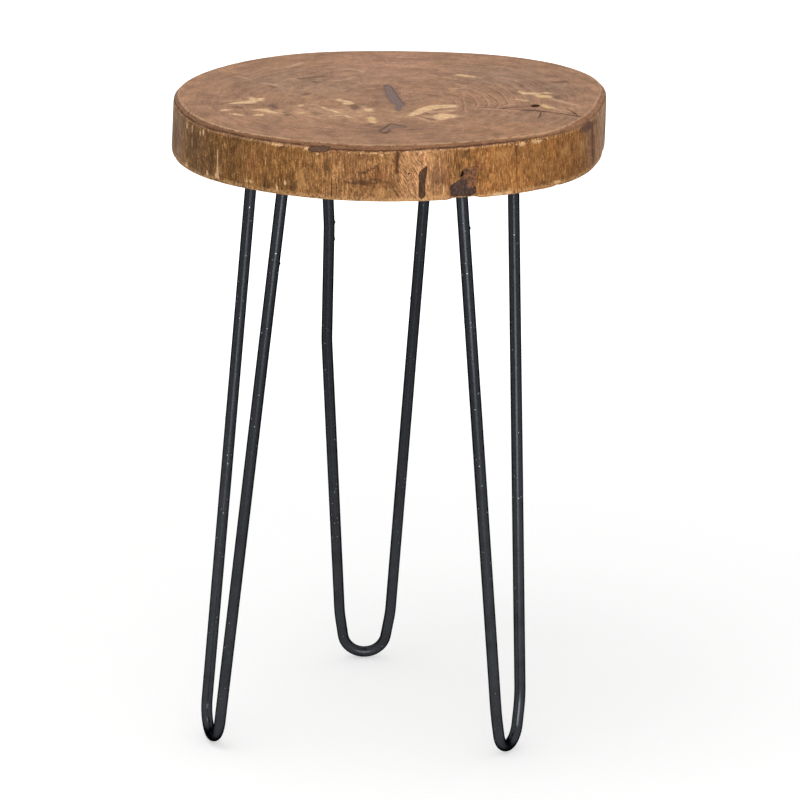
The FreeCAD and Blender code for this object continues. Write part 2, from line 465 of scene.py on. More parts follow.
def footLift(bearing):
    # a broad chip under the knot, a nick to its right, and small ones all round
    arc = (np.asarray(bearing) / 360.0) % 1.0
    start, full, fade, end, high = slabShape["brokenFoot"]
    middle, wide, nickHigh = slabShape["footNick"]
    broad = high * smoothStep(start, full, bearing) * (1 - smoothStep(fade, end, bearing))
    small = slabShape["footUnevenness"] * smoothStep(.3, .9, unevenness(arc * 150, arc * 0 + 2, 150, 55))
    return broad + nickHigh * bell(bearing, middle, wide) + small


def slabRings():
    # rings of points from the middle of the top out over the rim, down the wall and in under the slab
    rings = []
    columns, thickness = slabShape["columns"], trunk["thickness"]
    box = np.array([list(corner) for corner in cadBox]) * 1000 + np.array([[.1], [-.1]])

    def ring(count, inset, drop, share=1.0):
        angle = np.linspace(-math.pi, math.pi, count, endpoint=False)
        radius = (wallRadius(angle, drop) - inset) * share
        height = trunk["height"] - drop + 0 * angle
        if 0 < drop < thickness:
            radius = radius - wallRelief(angle, 0 * angle + drop)
        if drop > 40 and share == 1.0:
            height = height + footLift(np.degrees(angle)) * smoothStep(40, 48, drop)
        # fibres that stand out of the wall stay within the trunk's own widest reach
        x = np.clip(radius * np.cos(angle), box[0][0], box[1][0])
        y = np.clip(radius * np.sin(angle), box[0][1], box[1][1])
        rings.append(np.stack([x, y, height], 1))

    def columnsFor(share, halves):
        # half as many points past each of these shares of the way in
        return columns >> sum(share < limit for limit in halves)

    topCount = int((trunk["radius"] - slabShape["rim"][0][0]) / slabShape["topStep"])
    for step in range(1, topCount):
        share = step / topCount
        ring(columnsFor(share, (.5, .25, .12)), slabShape["rim"][0][0], 0.0, share)
    for inset, drop in slabShape["rim"]:
        ring(columns, inset, drop)
    start, stop = slabShape["rim"][-1][1], slabShape["foot"][0][1]
    for drop in np.linspace(start, stop, int((stop - start) / slabShape["wallStep"]) + 1)[1:-1]:
        ring(columns, 0.0, float(drop))
    for inset, drop in slabShape["foot"]:
        ring(columns, inset, drop)
    for step in range(slabShape["undersideRings"], 0, -1):
        share = step / (slabShape["undersideRings"] + 1)
        ring(columnsFor(share, (.9, .45, .2)), slabShape["foot"][-1][0], thickness, share)
    return rings


def buildSlab():
    rings = slabRings()
    starts = np.cumsum([0] + [len(ring) for ring in rings])
    faces = []
    for (first, second), start, follow in zip(zip(rings, rings[1:]), starts, starts[1:]):
        few = min(len(first), len(second))
        if len(first) == len(second):
            for i in range(few):
                faces.append((start + i, follow + i, follow + (i + 1) % few, start + (i + 1) % few))
            continue
        # one ring has twice the points of the other: three triangles for each pair of them
        sparse, dense = (start, follow) if len(second) > few else (follow, start)
        for i in range(few):
            a, b = sparse + i, sparse + (i + 1) % few
            left, middle, right = dense + 2 * i, dense + 2 * i + 1, dense + (2 * i + 2) % (2 * few)
            faces += [(a, left, middle), (a, middle, b), (b, middle, right)]
    total = int(starts[-1])
    faces += [(total, i, (i + 1) % len(rings[0])) for i in range(len(rings[0]))]
    last = int(starts[-2])
    faces += [(total + 1, last + (i + 1) % len(rings[-1]), last + i) for i in range(len(rings[-1]))]
    middle = [[0, 0, trunk["height"]], [0, 0, trunk["height"] - trunk["thickness"]]]
    points = np.concatenate(rings + [np.array(middle)])
    x, y, z = points.T
    # the sanded top dips a little here and there
    dip = slabShape["topUnevenness"] * (.5 + .5 * unevenness(x / 31 + 20, y / 27 + 20, 999, 5))
    points[:, 2] = np.where(z > trunk["height"] - .5, z - dip, z)
    return faceOut(makeMesh("treeSlice", points, faces))


slab = buildSlab()

print("stage: fillers, knot and cracks")

fillShape = {
    "depth": 6.0,
    "sideDepth": 5.0,
    "sink": .18,
    "sideSink": .55,
    "ragged": .35,
    # outlines on the top: across, back
    "centre": (
        (-5.8, 36.4), (.2, 36.4), (6.4, -5.6), (11.8, -41.2), (9.4, -50.2), (8.4, -64.8), (6.2, -68.4),
        (4.6, -61.2), (4.2, -42.8), (.8, -35.6), (-2.4, -17.0), (-4.6, 13.2),
    ),
    "arc": (
        (-9.2, -145.4), (-3.4, -128.0), (-.2, -118.0), (6.0, -123.2), (12.8, -128.6), (5.2, -134.0),
        (0, -139.0), (-2.6, -148.8), (-6.2, -152.2),
    ),
    # outlines on the side: along the rim from the bearing, below the top
    "rimBearing": -107.4,
    "rim": (
        (-10, 5.76), (-5.2, 3.36), (2, 2.4), (9.2, 2.88), (11.2, 4.32), (5.6, 7.2), (-2.4, 8.16),
        (-8.6, 7.68),
    ),
    "stripBearing": -82.5,
    "strip": (
        (3.6, 18.0), (3.5, 24), (2.2, 32.6), (1.7, 44.0), (-3.2, 44.2), (-3.4, 32.2), (-3.2, 24), (0, 20.6),
    ),
}

knotShape = {
    "bearing": -72.2,
    # how far its outer face lies from the table's axis
    "reach": 199.0,
    "depth": 14.0,
    "ragged": .45,
    "outline": (
        (-3.2, 25), (-1.4, 21.6), (5, 21.4), (11.8, 22.6), (11.2, 31.2), (10.2, 38.4), (9.8, 43.7),
        (6, 45.1), (-7.6, 45.1), (-12, 43.7), (-13, 36), (-8.4, 33.1), (-4.8, 29.8),
    ),
    "middle": (-2.0, 37.5),
    "pit": (-2.6, 26.4),
    "pitDepth": 3.4,
}

crackShape = {
    # the crack from the growth rings past the knot hole and over the rim: across, back, width, depth
    "long": (
        (76, -57, .3, .4), (84, -55.5, .8, .8), (93, -58, .9, 1.2), (108, -63, .8, 1.2), (116, -66, .9, 1.4),
        (128, -69, 1.1, 2.0), (139, -75.5, 1.0, 2.2), (149, -81.5, 1.0, 2.4), (156, -86.5, 1.1, 2.6),
        (162.5, -93.5, 1.1, 3.2), (168, -93, 1.2, 4.5), (172.5, -88, 1.1, 6.5),
    ),
    "upper": ((153, -61, .3, .5), (156, -68, .6, 1.1), (159, -79, .8, 1.3), (160.5, -88, .6, 1.0)),
    "tick": ((130, -75, .5, .8), (129, -84, .9, 1.1), (128, -92, .8, 1.0), (126, -98, .3, .5)),
    "byArc": ((-8, -149, .8, .8), (-5, -155, 1.3, 1.4), (-2.4, -150, 1.0, 1.2), (-1, -143, .4, .6)),
    # upright splits on the side: bearing, from and to below the top, width, depth
    "splits": (
        (-88.6, 6.5, 23.0, 1.9, .8), (-104.3, 29, 47, .6, 1.0), (-58.6, 5.5, 47, .5, 1.0),
        (-122.6, 37, 47, .7, 1.0), (-132.5, 12, 40, .5, .9), (-26.3, 8, 45, .9, .7), (64, 7, 30, .9, 1.4),
        (121, 18, 46, 1.0, 1.5), (167, 9, 41, .8, 1.2), (22, 14, 47, 1.1, 1.5),
    ),
    # the hole of a lost knot in the top: across, back; a beetle's pinhole: bearing, below the top, radius
    "knotHole": (
        (121.8, -47.4), (124.4, -42.6), (128, -41.4), (130.6, -45.6), (129.8, -51), (126.6, -54),
        (122.8, -52.4),
    ),
    "knotHoleDepth": 9.0,
    "pinhole": (-85.8, 24.0, .8),
}


def topCutter(name, outline, depth, narrow=1.0):
    # upright, open above the top; narrow draws its floor in for a funnel
    outline = np.asarray(outline)
    middle = outline.mean(0)

    def at(height, share):
        return lambda line: np.c_[middle + (line - middle) * share, np.full(len(line), height)]

    return prism(name, outline, at(trunk["height"] + 1, 1.0), at(trunk["height"] - depth, narrow))


def sideCutter(name, bearing, outline, depth):
    rim = float(wallRadius(np.radians([bearing]), 0.0)[0])
    out, along = outwardAt(bearing), outwardAt(bearing + 90)

    def at(reach):
        return lambda line: out * reach + line[:, :1] * along + np.c_[0 * line, trunk["height"] - line[:, 1]]

    return prism(name, outline, at(rim + 6), at(rim - depth))


def patchStock(name, us, vs, surface, under):
    # a closed block with a fine outer face: surface and under turn a grid of two values into places
    gridU, gridV = np.meshgrid(us, vs)
    rows, columns = gridU.shape
    points = np.concatenate([surface(gridU, gridV).reshape(-1, 3), under(gridU, gridV).reshape(-1, 3)])
    half = rows * columns
    faces = []
    for r in range(rows - 1):
        for c in range(columns - 1):
            a = r * columns + c
            faces.append((a, a + 1, a + columns + 1, a + columns))
            faces.append((half + a + columns, half + a + columns + 1, half + a + 1, half + a))
    border = list(range(columns)) + [r * columns + columns - 1 for r in range(1, rows)]
    border += [(rows - 1) * columns + c for c in range(columns - 2, -1, -1)]
    border += [r * columns for r in range(rows - 2, 0, -1)]
    for a, b in zip(border, border[1:] + border[:1]):
        faces.append((b, a, half + a, half + b))
    return faceOut(makeMesh(name, points, faces))


def topFill(name, outline):
    outline = np.asarray(outline)
    low, high = outline.min(0) - 3, outline.max(0) + 3

    def surface(x, y):
        worn = insideDistance(x, y, outline)
        sink = fillShape["sink"] + .3 * (1 - smoothStep(0, 1.6, worn))
        sink += .12 * unevenness(x / 3, y / 3, 999, 61)
        return np.stack([x, y, trunk["height"] - sink], -1)

    def under(x, y):
        return np.stack([x, y, 0 * x + trunk["height"] - fillShape["depth"] - 2], -1)

    stock = patchStock(name, np.arange(low[0], high[0], .7), np.arange(low[1], high[1], .9), surface, under)
    cutter = topCutter(name + "Cutter", outline, fillShape["depth"])
    return carve(stock, [cutter], "INTERSECT"), cutter


def sideFill(name, bearing, outline, depth, sinkAt):
    outline = np.asarray(outline)
    rim = float(wallRadius(np.radians([bearing]), 0.0)[0])
    low, high = outline.min(0) - 2, np.minimum(outline.max(0) + 2, [999, 47.4])

    def insetIn(drop):
        # how far the bevel and the eased foot lie in from the plain wall
        return sum(np.interp(drop, *np.array(slabShape[edge]).T[::-1]) for edge in ("rim", "foot"))

    def at(along, drop, inset):
        angle = np.radians(bearing) + along / rim
        return polar(wallRadius(angle, drop) - inset, angle, trunk["height"] - drop)

    stock = patchStock(name, np.arange(low[0], high[0], .6), np.arange(low[1], high[1], .6),
                       lambda along, drop: at(along, drop, insetIn(drop) + sinkAt(along, drop)),
                       lambda along, drop: at(along, drop, depth + 6))
    cutter = sideCutter(name + "Cutter", bearing, outline, depth)
    return carve(stock, [cutter], "INTERSECT"), cutter


def plainSink(along, drop):
    return fillShape["sideSink"] + .2 * unevenness(along / 2.5 + 50, drop / 4 + 50, 999, 71)


def knotSink(along, drop):
    # growth lines round the knot's heart, a rough upper part and a deep pit where the two meet
    middleX, middleY = knotShape["middle"]
    pitX, pitY = knotShape["pit"]
    heart = np.hypot(along - middleX, (drop - middleY) * .9)
    lines = .10 * np.sin(heart * 2.3 + 3.0 * unevenness(along / 3 + 60, drop / 3 + 60, 999, 81))
    body = 1.0 - .6 * smoothStep(9.5, 5, heart)
    rough = .35 * unevenness(along / 1.5 + 60, drop / 1.5 + 60, 999, 83)
    pit = knotShape["pitDepth"] * bell(along, pitX, 2.0) * bell(drop, pitY, 2.4)
    ridge = -.35 * bell(along, 2, 5) * bell(drop, 31.5, 1.3)
    return np.maximum(.25, body + lines + rough + pit + ridge)


centreOutline = raggedOutline(fillShape["centre"], fillShape["ragged"], 101)
arcOutline = raggedOutline(fillShape["arc"], fillShape["ragged"], 111)
rimOutline = raggedOutline(fillShape["rim"], fillShape["ragged"], 121)
stripOutline = raggedOutline(fillShape["strip"], fillShape["ragged"], 131)
knotOutline = raggedOutline(knotShape["outline"], knotShape["ragged"], 141)

centreFill, centreCutter = topFill("centreFill", centreOutline)
arcFill, arcCutter = topFill("arcFill", arcOutline)
sideDepth = fillShape["sideDepth"]
rimFill, rimCutter = sideFill("rimFill", fillShape["rimBearing"], rimOutline, sideDepth, plainSink)
stripFill, stripCutter = sideFill("stripFill", fillShape["stripBearing"], stripOutline, sideDepth, plainSink)
sideKnot, knotCutter = sideFill("sideKnot", knotShape["bearing"], knotOutline, knotShape["depth"], knotSink)


def topGroove(name, line):
    x, y, width, depth = finer(line, 5 * len(line)).T
    fine = np.linspace(0, len(line) - 1, len(x))
    wander = .35 * unevenness(fine * 2.2, fine * 0, 9999, 151) * (np.minimum(fine, fine[::-1]) > .1)
    inset = lobed(np.arctan2(y, x), trunk["radius"], trunk["lobesTop"]) - np.hypot(x, y)
    fall = np.minimum(np.interp(inset, *np.array(slabShape["rim"])[::-1].T), 4.0)
    path = np.c_[x, y + wander, trunk["height"] - fall]
    return groove(name, path, width, np.maximum(depth - fall, 1.2 * width), [[0, 0, 1]] * len(x))


def splitGroove(name, bearing, start, stop, width, depth):
    drop = np.linspace(start, stop, 14)
    share = (drop - start) / (stop - start)
    taper = np.clip(4 * share * (1 - share), .15, 1) ** .5 if stop < 46.5 else np.clip(3 * share, .2, 1)
    bend = .10 * unevenness(drop / 5, drop * 0, 9999, int(abs(bearing) * 7))
    path = wallPlace(bearing + bend, drop, -.5)
    return groove(name, path, width * taper, depth * taper, outwardAt(bearing + 0 * drop), 1.4)


cutters = [centreCutter, arcCutter, rimCutter, stripCutter, knotCutter]
cutters += [topGroove(name + "Crack", crackShape[name]) for name in ("long", "upper", "tick", "byArc")]
cutters += [splitGroove("split" + str(n), *split) for n, split in enumerate(crackShape["splits"])]
hole = raggedOutline(crackShape["knotHole"], .5, 161)
cutters.append(topCutter("knotHoleCutter", hole, crackShape["knotHoleDepth"], .55))
pinBearing, pinDrop, pinRadius = crackShape["pinhole"]
pinRound = np.array([[math.cos(a), math.sin(a)] for a in np.linspace(0, 2 * math.pi, 12, endpoint=False)])
cutters.append(sideCutter("pinCutter", pinBearing, pinRound * pinRadius + [0, pinDrop], 4.0))
carve(slab, cutters)
for cutter in cutters:
    bpy.data.objects.remove(cutter)

print("stage: rods and welds")

rodShape = {
    "diameter": 10.6,
    "spacing": 104.0,
    "plateUnderside": 548.0,
    "sides": 22,
    "step": 3.2,
    "unevenness": .07,
    "kinkRun": .45,
    "sharpAngle": 50,
    # the spurs of coating: how wide they spread, how far up and down they reach, and the finer steps there
    "spurSpread": 1.3,
    "spurReach": 4,
    "spurSteps": np.arange(-3, 3.1, .5),
    "fineStep": .25,
    "endGap": .2,
}

# each leg: share of the slab's radius out to its plate, bearing, facing, splay, lean, radius of its bend and
# of its kinks, and the lines of its two sides as shares of the length down and of half the spacing across
legShapes = {
    "left": (.580, -157.8, 196.8, 59.6, -12.0, 25.3, 150.0, ((0, 1),), ((0, 1),)),
    "back": (
        .472, 99.5, 91.5, 58.4, 9.5, 21.3, 150.0, ((0, 1), (.92, .310)),
        ((0, .855), (.174, .798), (.385, .856), (.92, .651)),
    ),
    "right": (
        .529, -36.6, 331.4, 26.2, 0.0, 19.5, 4000.0, ((0, 1), (.93, .440)),
        ((0, .950), (.487, .723), (.93, .510)),
    ),
}

# drips of coating and weld spatter: side of the leg, height, turn round the rod from its right side, size
rodSpurs = {
    "left": ((1, 470, 10, .8), (-1, 300, 160, .5)),
    "back": ((1, 457, 0, .9), (1, 441, 10, 1.0), (-1, 380, 180, .4)),
    "right": ((-1, 505, 10, 1.0), (-1, 420, 200, .5)),
}


def hairpinLine(length, lean, bend, radius, sides):
    # the rod's centreline in its own plane, x across and y down the leg, with each corner turned into an arc
    middle = np.array([lean, length - bend])
    halves = []
    for side, shares in zip((-1, 1), sides):
        half = rodShape["spacing"] / 2
        points = [np.array([side * across * half, down * length]) for down, across in shares]
        away = middle - points[-1]
        far = np.hypot(*away)
        heading = math.atan2(away[1], away[0]) - side * math.asin(bend / far)
        run = math.sqrt(far ** 2 - bend ** 2)
        points.append(points[-1] + run * np.array([math.cos(heading), math.sin(heading)]))
        beyond = points[0] - points[1]
        points[0] = points[0] + beyond / np.linalg.norm(beyond) * rodShape["diameter"]
        halves.append(roundCorners(points, radius))
    start = math.atan2(*(halves[0][-1] - middle)[::-1])
    stop = math.atan2(*(halves[1][-1] - middle)[::-1])
    turns = np.linspace(start, stop - (2 * math.pi if stop > start else 0), 33)[1:-1]
    foot = [middle + bend * np.array([math.cos(turn), math.sin(turn)]) for turn in turns]
    return np.array(halves[0] + foot + halves[1][::-1])


def roundCorners(points, radius):
    line = [points[0]]
    for before, corner, after in zip(points, points[1:], points[2:]):
        back, ahead = before - corner, after - corner
        shorter = min(np.linalg.norm(back), np.linalg.norm(ahead))
        back, ahead = back / np.linalg.norm(back), ahead / np.linalg.norm(ahead)
        halfTurn = (math.pi - math.acos(np.clip(back @ ahead, -1, 1))) / 2
        reach = min(radius * math.tan(halfTurn), rodShape["kinkRun"] * shorter)
        bow = reach / math.tan(halfTurn)
        centre = corner + (back + ahead) / np.linalg.norm(back + ahead) * bow / math.cos(halfTurn)
        first, last = corner + back * reach - centre, corner + ahead * reach - centre
        for share in np.linspace(0, 1, 17):
            spoke = first * (1 - share) + last * share
            line.append(centre + spoke / np.linalg.norm(spoke) * bow)
    return line + [points[-1]]


def evenMarks(length, step):
    return np.linspace(0, length, int(length / step) + 1)


def rodCentreline(leg):
    # places along the middle of the bent rod, how far along they are, and which way is out of the leg's plane
    share, bearing, facing, splay, lean, bend, radius, *sides = legShapes[leg]
    fall = rodShape["plateUnderside"] - rodShape["diameter"] / 2
    length = math.hypot(splay, fall)
    across = outwardAt(facing + 90)
    down = (outwardAt(facing) * splay - np.array([0, 0, fall])) / length
    top = outwardAt(bearing) * share * trunk["radius"] + np.array([0, 0, rodShape["plateUnderside"]])

    def placed(line):
        return top + line[:, :1] * across + line[:, 1:] * down

    line = hairpinLine(length, lean, bend, radius, sides)
    run = np.concatenate([[0], np.cumsum(np.linalg.norm(np.diff(line, axis=0), axis=1))])
    even = evenMarks(run[-1], rodShape["fineStep"])
    line, run = pickedAt(line, run, even), even
    heights = placed(line)[:, 2]
    marks = evenMarks(run[-1], rodShape["step"])
    for side, height, _, _ in rodSpurs[leg]:
        # finer steps at each spur
        half = run > run[-1] / 2 if side > 0 else run < run[-1] / 2
        marks = np.union1d(marks, run[half][np.argmin(abs(heights[half] - height))] + rodShape["spurSteps"])
    return placed(pickedAt(line, run, marks)), marks, np.cross(across, down)


def coatReach(leg, turn, spokes, run, onPlusSide, height):
    # how far the coated surface stands from the rod's middle: slightly lumpy, with the spurs near this height
    thick, spread = rodShape["diameter"] / 2, rodShape["spurSpread"]
    lumps = .5 + .35 * unevenness(turn / (2 * math.pi) * 9, 0 * turn + run / 7, 9, 201 + len(leg))
    lumps += .15 * unevenness(turn / (2 * math.pi) * 12, 0 * turn + run / 2.6, 12, 207)
    reach = thick - rodShape["unevenness"] * np.clip(lumps, 0, 1)
    for side, middle, toward, size in rodSpurs[leg]:
        if onPlusSide == (side > 0) and abs(height - middle) < rodShape["spurReach"]:
            face = outwardAt(-toward)
            off = thick * np.arccos(np.clip(spokes @ face, -1, 1))
            reach = reach + size * np.exp(-(off / spread) ** 2 - ((height - middle) / spread) ** 2)
    return reach


def buildLeg(leg):
    centres, marks, normal = rodCentreline(leg)
    heading = np.gradient(centres, axis=0)
    heading /= np.linalg.norm(heading, axis=1)[:, None]
    sideways = np.cross(normal, heading)
    sides, underside = rodShape["sides"], rodShape["plateUnderside"]
    turn = np.linspace(0, 2 * math.pi, sides, endpoint=False)
    rows, kept = [], []
    for i, centre in enumerate(centres):
        spokes = np.cos(turn)[:, None] * sideways[i] + np.sin(turn)[:, None] * normal
        reach = coatReach(leg, turn, spokes, marks[i], marks[i] > marks[-1] / 2, centre[2])
        ring = centre + reach[:, None] * spokes
        if ring[:, 2].max() < underside - rodShape["endGap"]:
            rows.append(ring)
            kept.append(i)
    # the ends are cut level where they meet the plate
    first, last = kept[0], kept[-1]
    caps = []
    for row, i in ((rows[0], first), (rows[-1], last)):
        way = heading[i] if heading[i][2] > 0 else -heading[i]
        caps.append(row + ((underside - row[:, 2]) / way[2])[:, None] * way)
    rows = [caps[0], *rows, caps[1]]
    faces = [tuple(range(sides)), tuple(range((len(rows) - 1) * sides, len(rows) * sides))[::-1]]
    for a in range(0, (len(rows) - 1) * sides, sides):
        b = a + sides
        faces += [(a + i, b + i, b + (i + 1) % sides, a + (i + 1) % sides) for i in range(sides)]
    rod = faceOut(makeMesh(leg + "Rod", np.concatenate(rows), faces))
    ends = [(rows[0].mean(0), -heading[first]), (rows[-1].mean(0), heading[last])]
    return rod, buildWelds(leg, ends)


weldShape = {
    "height": 4.5,
    "reach": 3.3,
    "columns": 56,
    "lumps": 11,
    # how far out and how far up from its foot, as shares of its reach and height
    "profile": (
        (-.6, 0.0), (0, 0.0), (.16, .05), (.42, .18), (.68, .4), (.86, .66), (.97, .9), (1, 1), (-.6, 1),
    ),
    "sharpAngle": 60,
}


def buildWelds(leg, ends):
    # a hand-laid bead round each end of the rod, in overlapping drops
    points, faces = [], []
    thick, underside = rodShape["diameter"] / 2, rodShape["plateUnderside"]
    count, profile = weldShape["columns"], weldShape["profile"]
    turn = np.linspace(0, 2 * math.pi, count, endpoint=False)
    for number, (foot, way) in enumerate(ends):
        level = way - np.array([0, 0, way[2]])
        base = len(points)
        drops = np.abs(np.sin(turn * weldShape["lumps"] / 2 + number)) ** .7
        drops = .82 + .18 * drops + .05 * unevenness(turn / (2 * math.pi) * 7, turn * 0 + number, 7, 221)
        for out, up in profile:
            reach = thick + (weldShape["reach"] * out * drops if out >= 0 else out * 2.0)
            high = underside - weldShape["height"] * (1 - up) * (.86 + .14 * drops) + 0 * turn
            # way points up along the rod, so the bead follows the rod's lean
            middle = foot[:2] - level[:2] / way[2] * (underside - high)[:, None]
            ring = middle + (reach + 0 * turn)[:, None] * np.c_[np.cos(turn), np.sin(turn)]
            points.extend(np.c_[ring, high])
        for r in range(len(profile)):
            a, b = base + r * count, base + (r + 1) % len(profile) * count
            faces += [(a + i, a + (i + 1) % count, b + (i + 1) % count, b + i) for i in range(count)]
    return faceOut(makeMesh(leg + "Welds", np.array(points), faces))


legPieces = {leg: buildLeg(leg) for leg in legShapes}

print("stage: places of the wood's colours and marks")

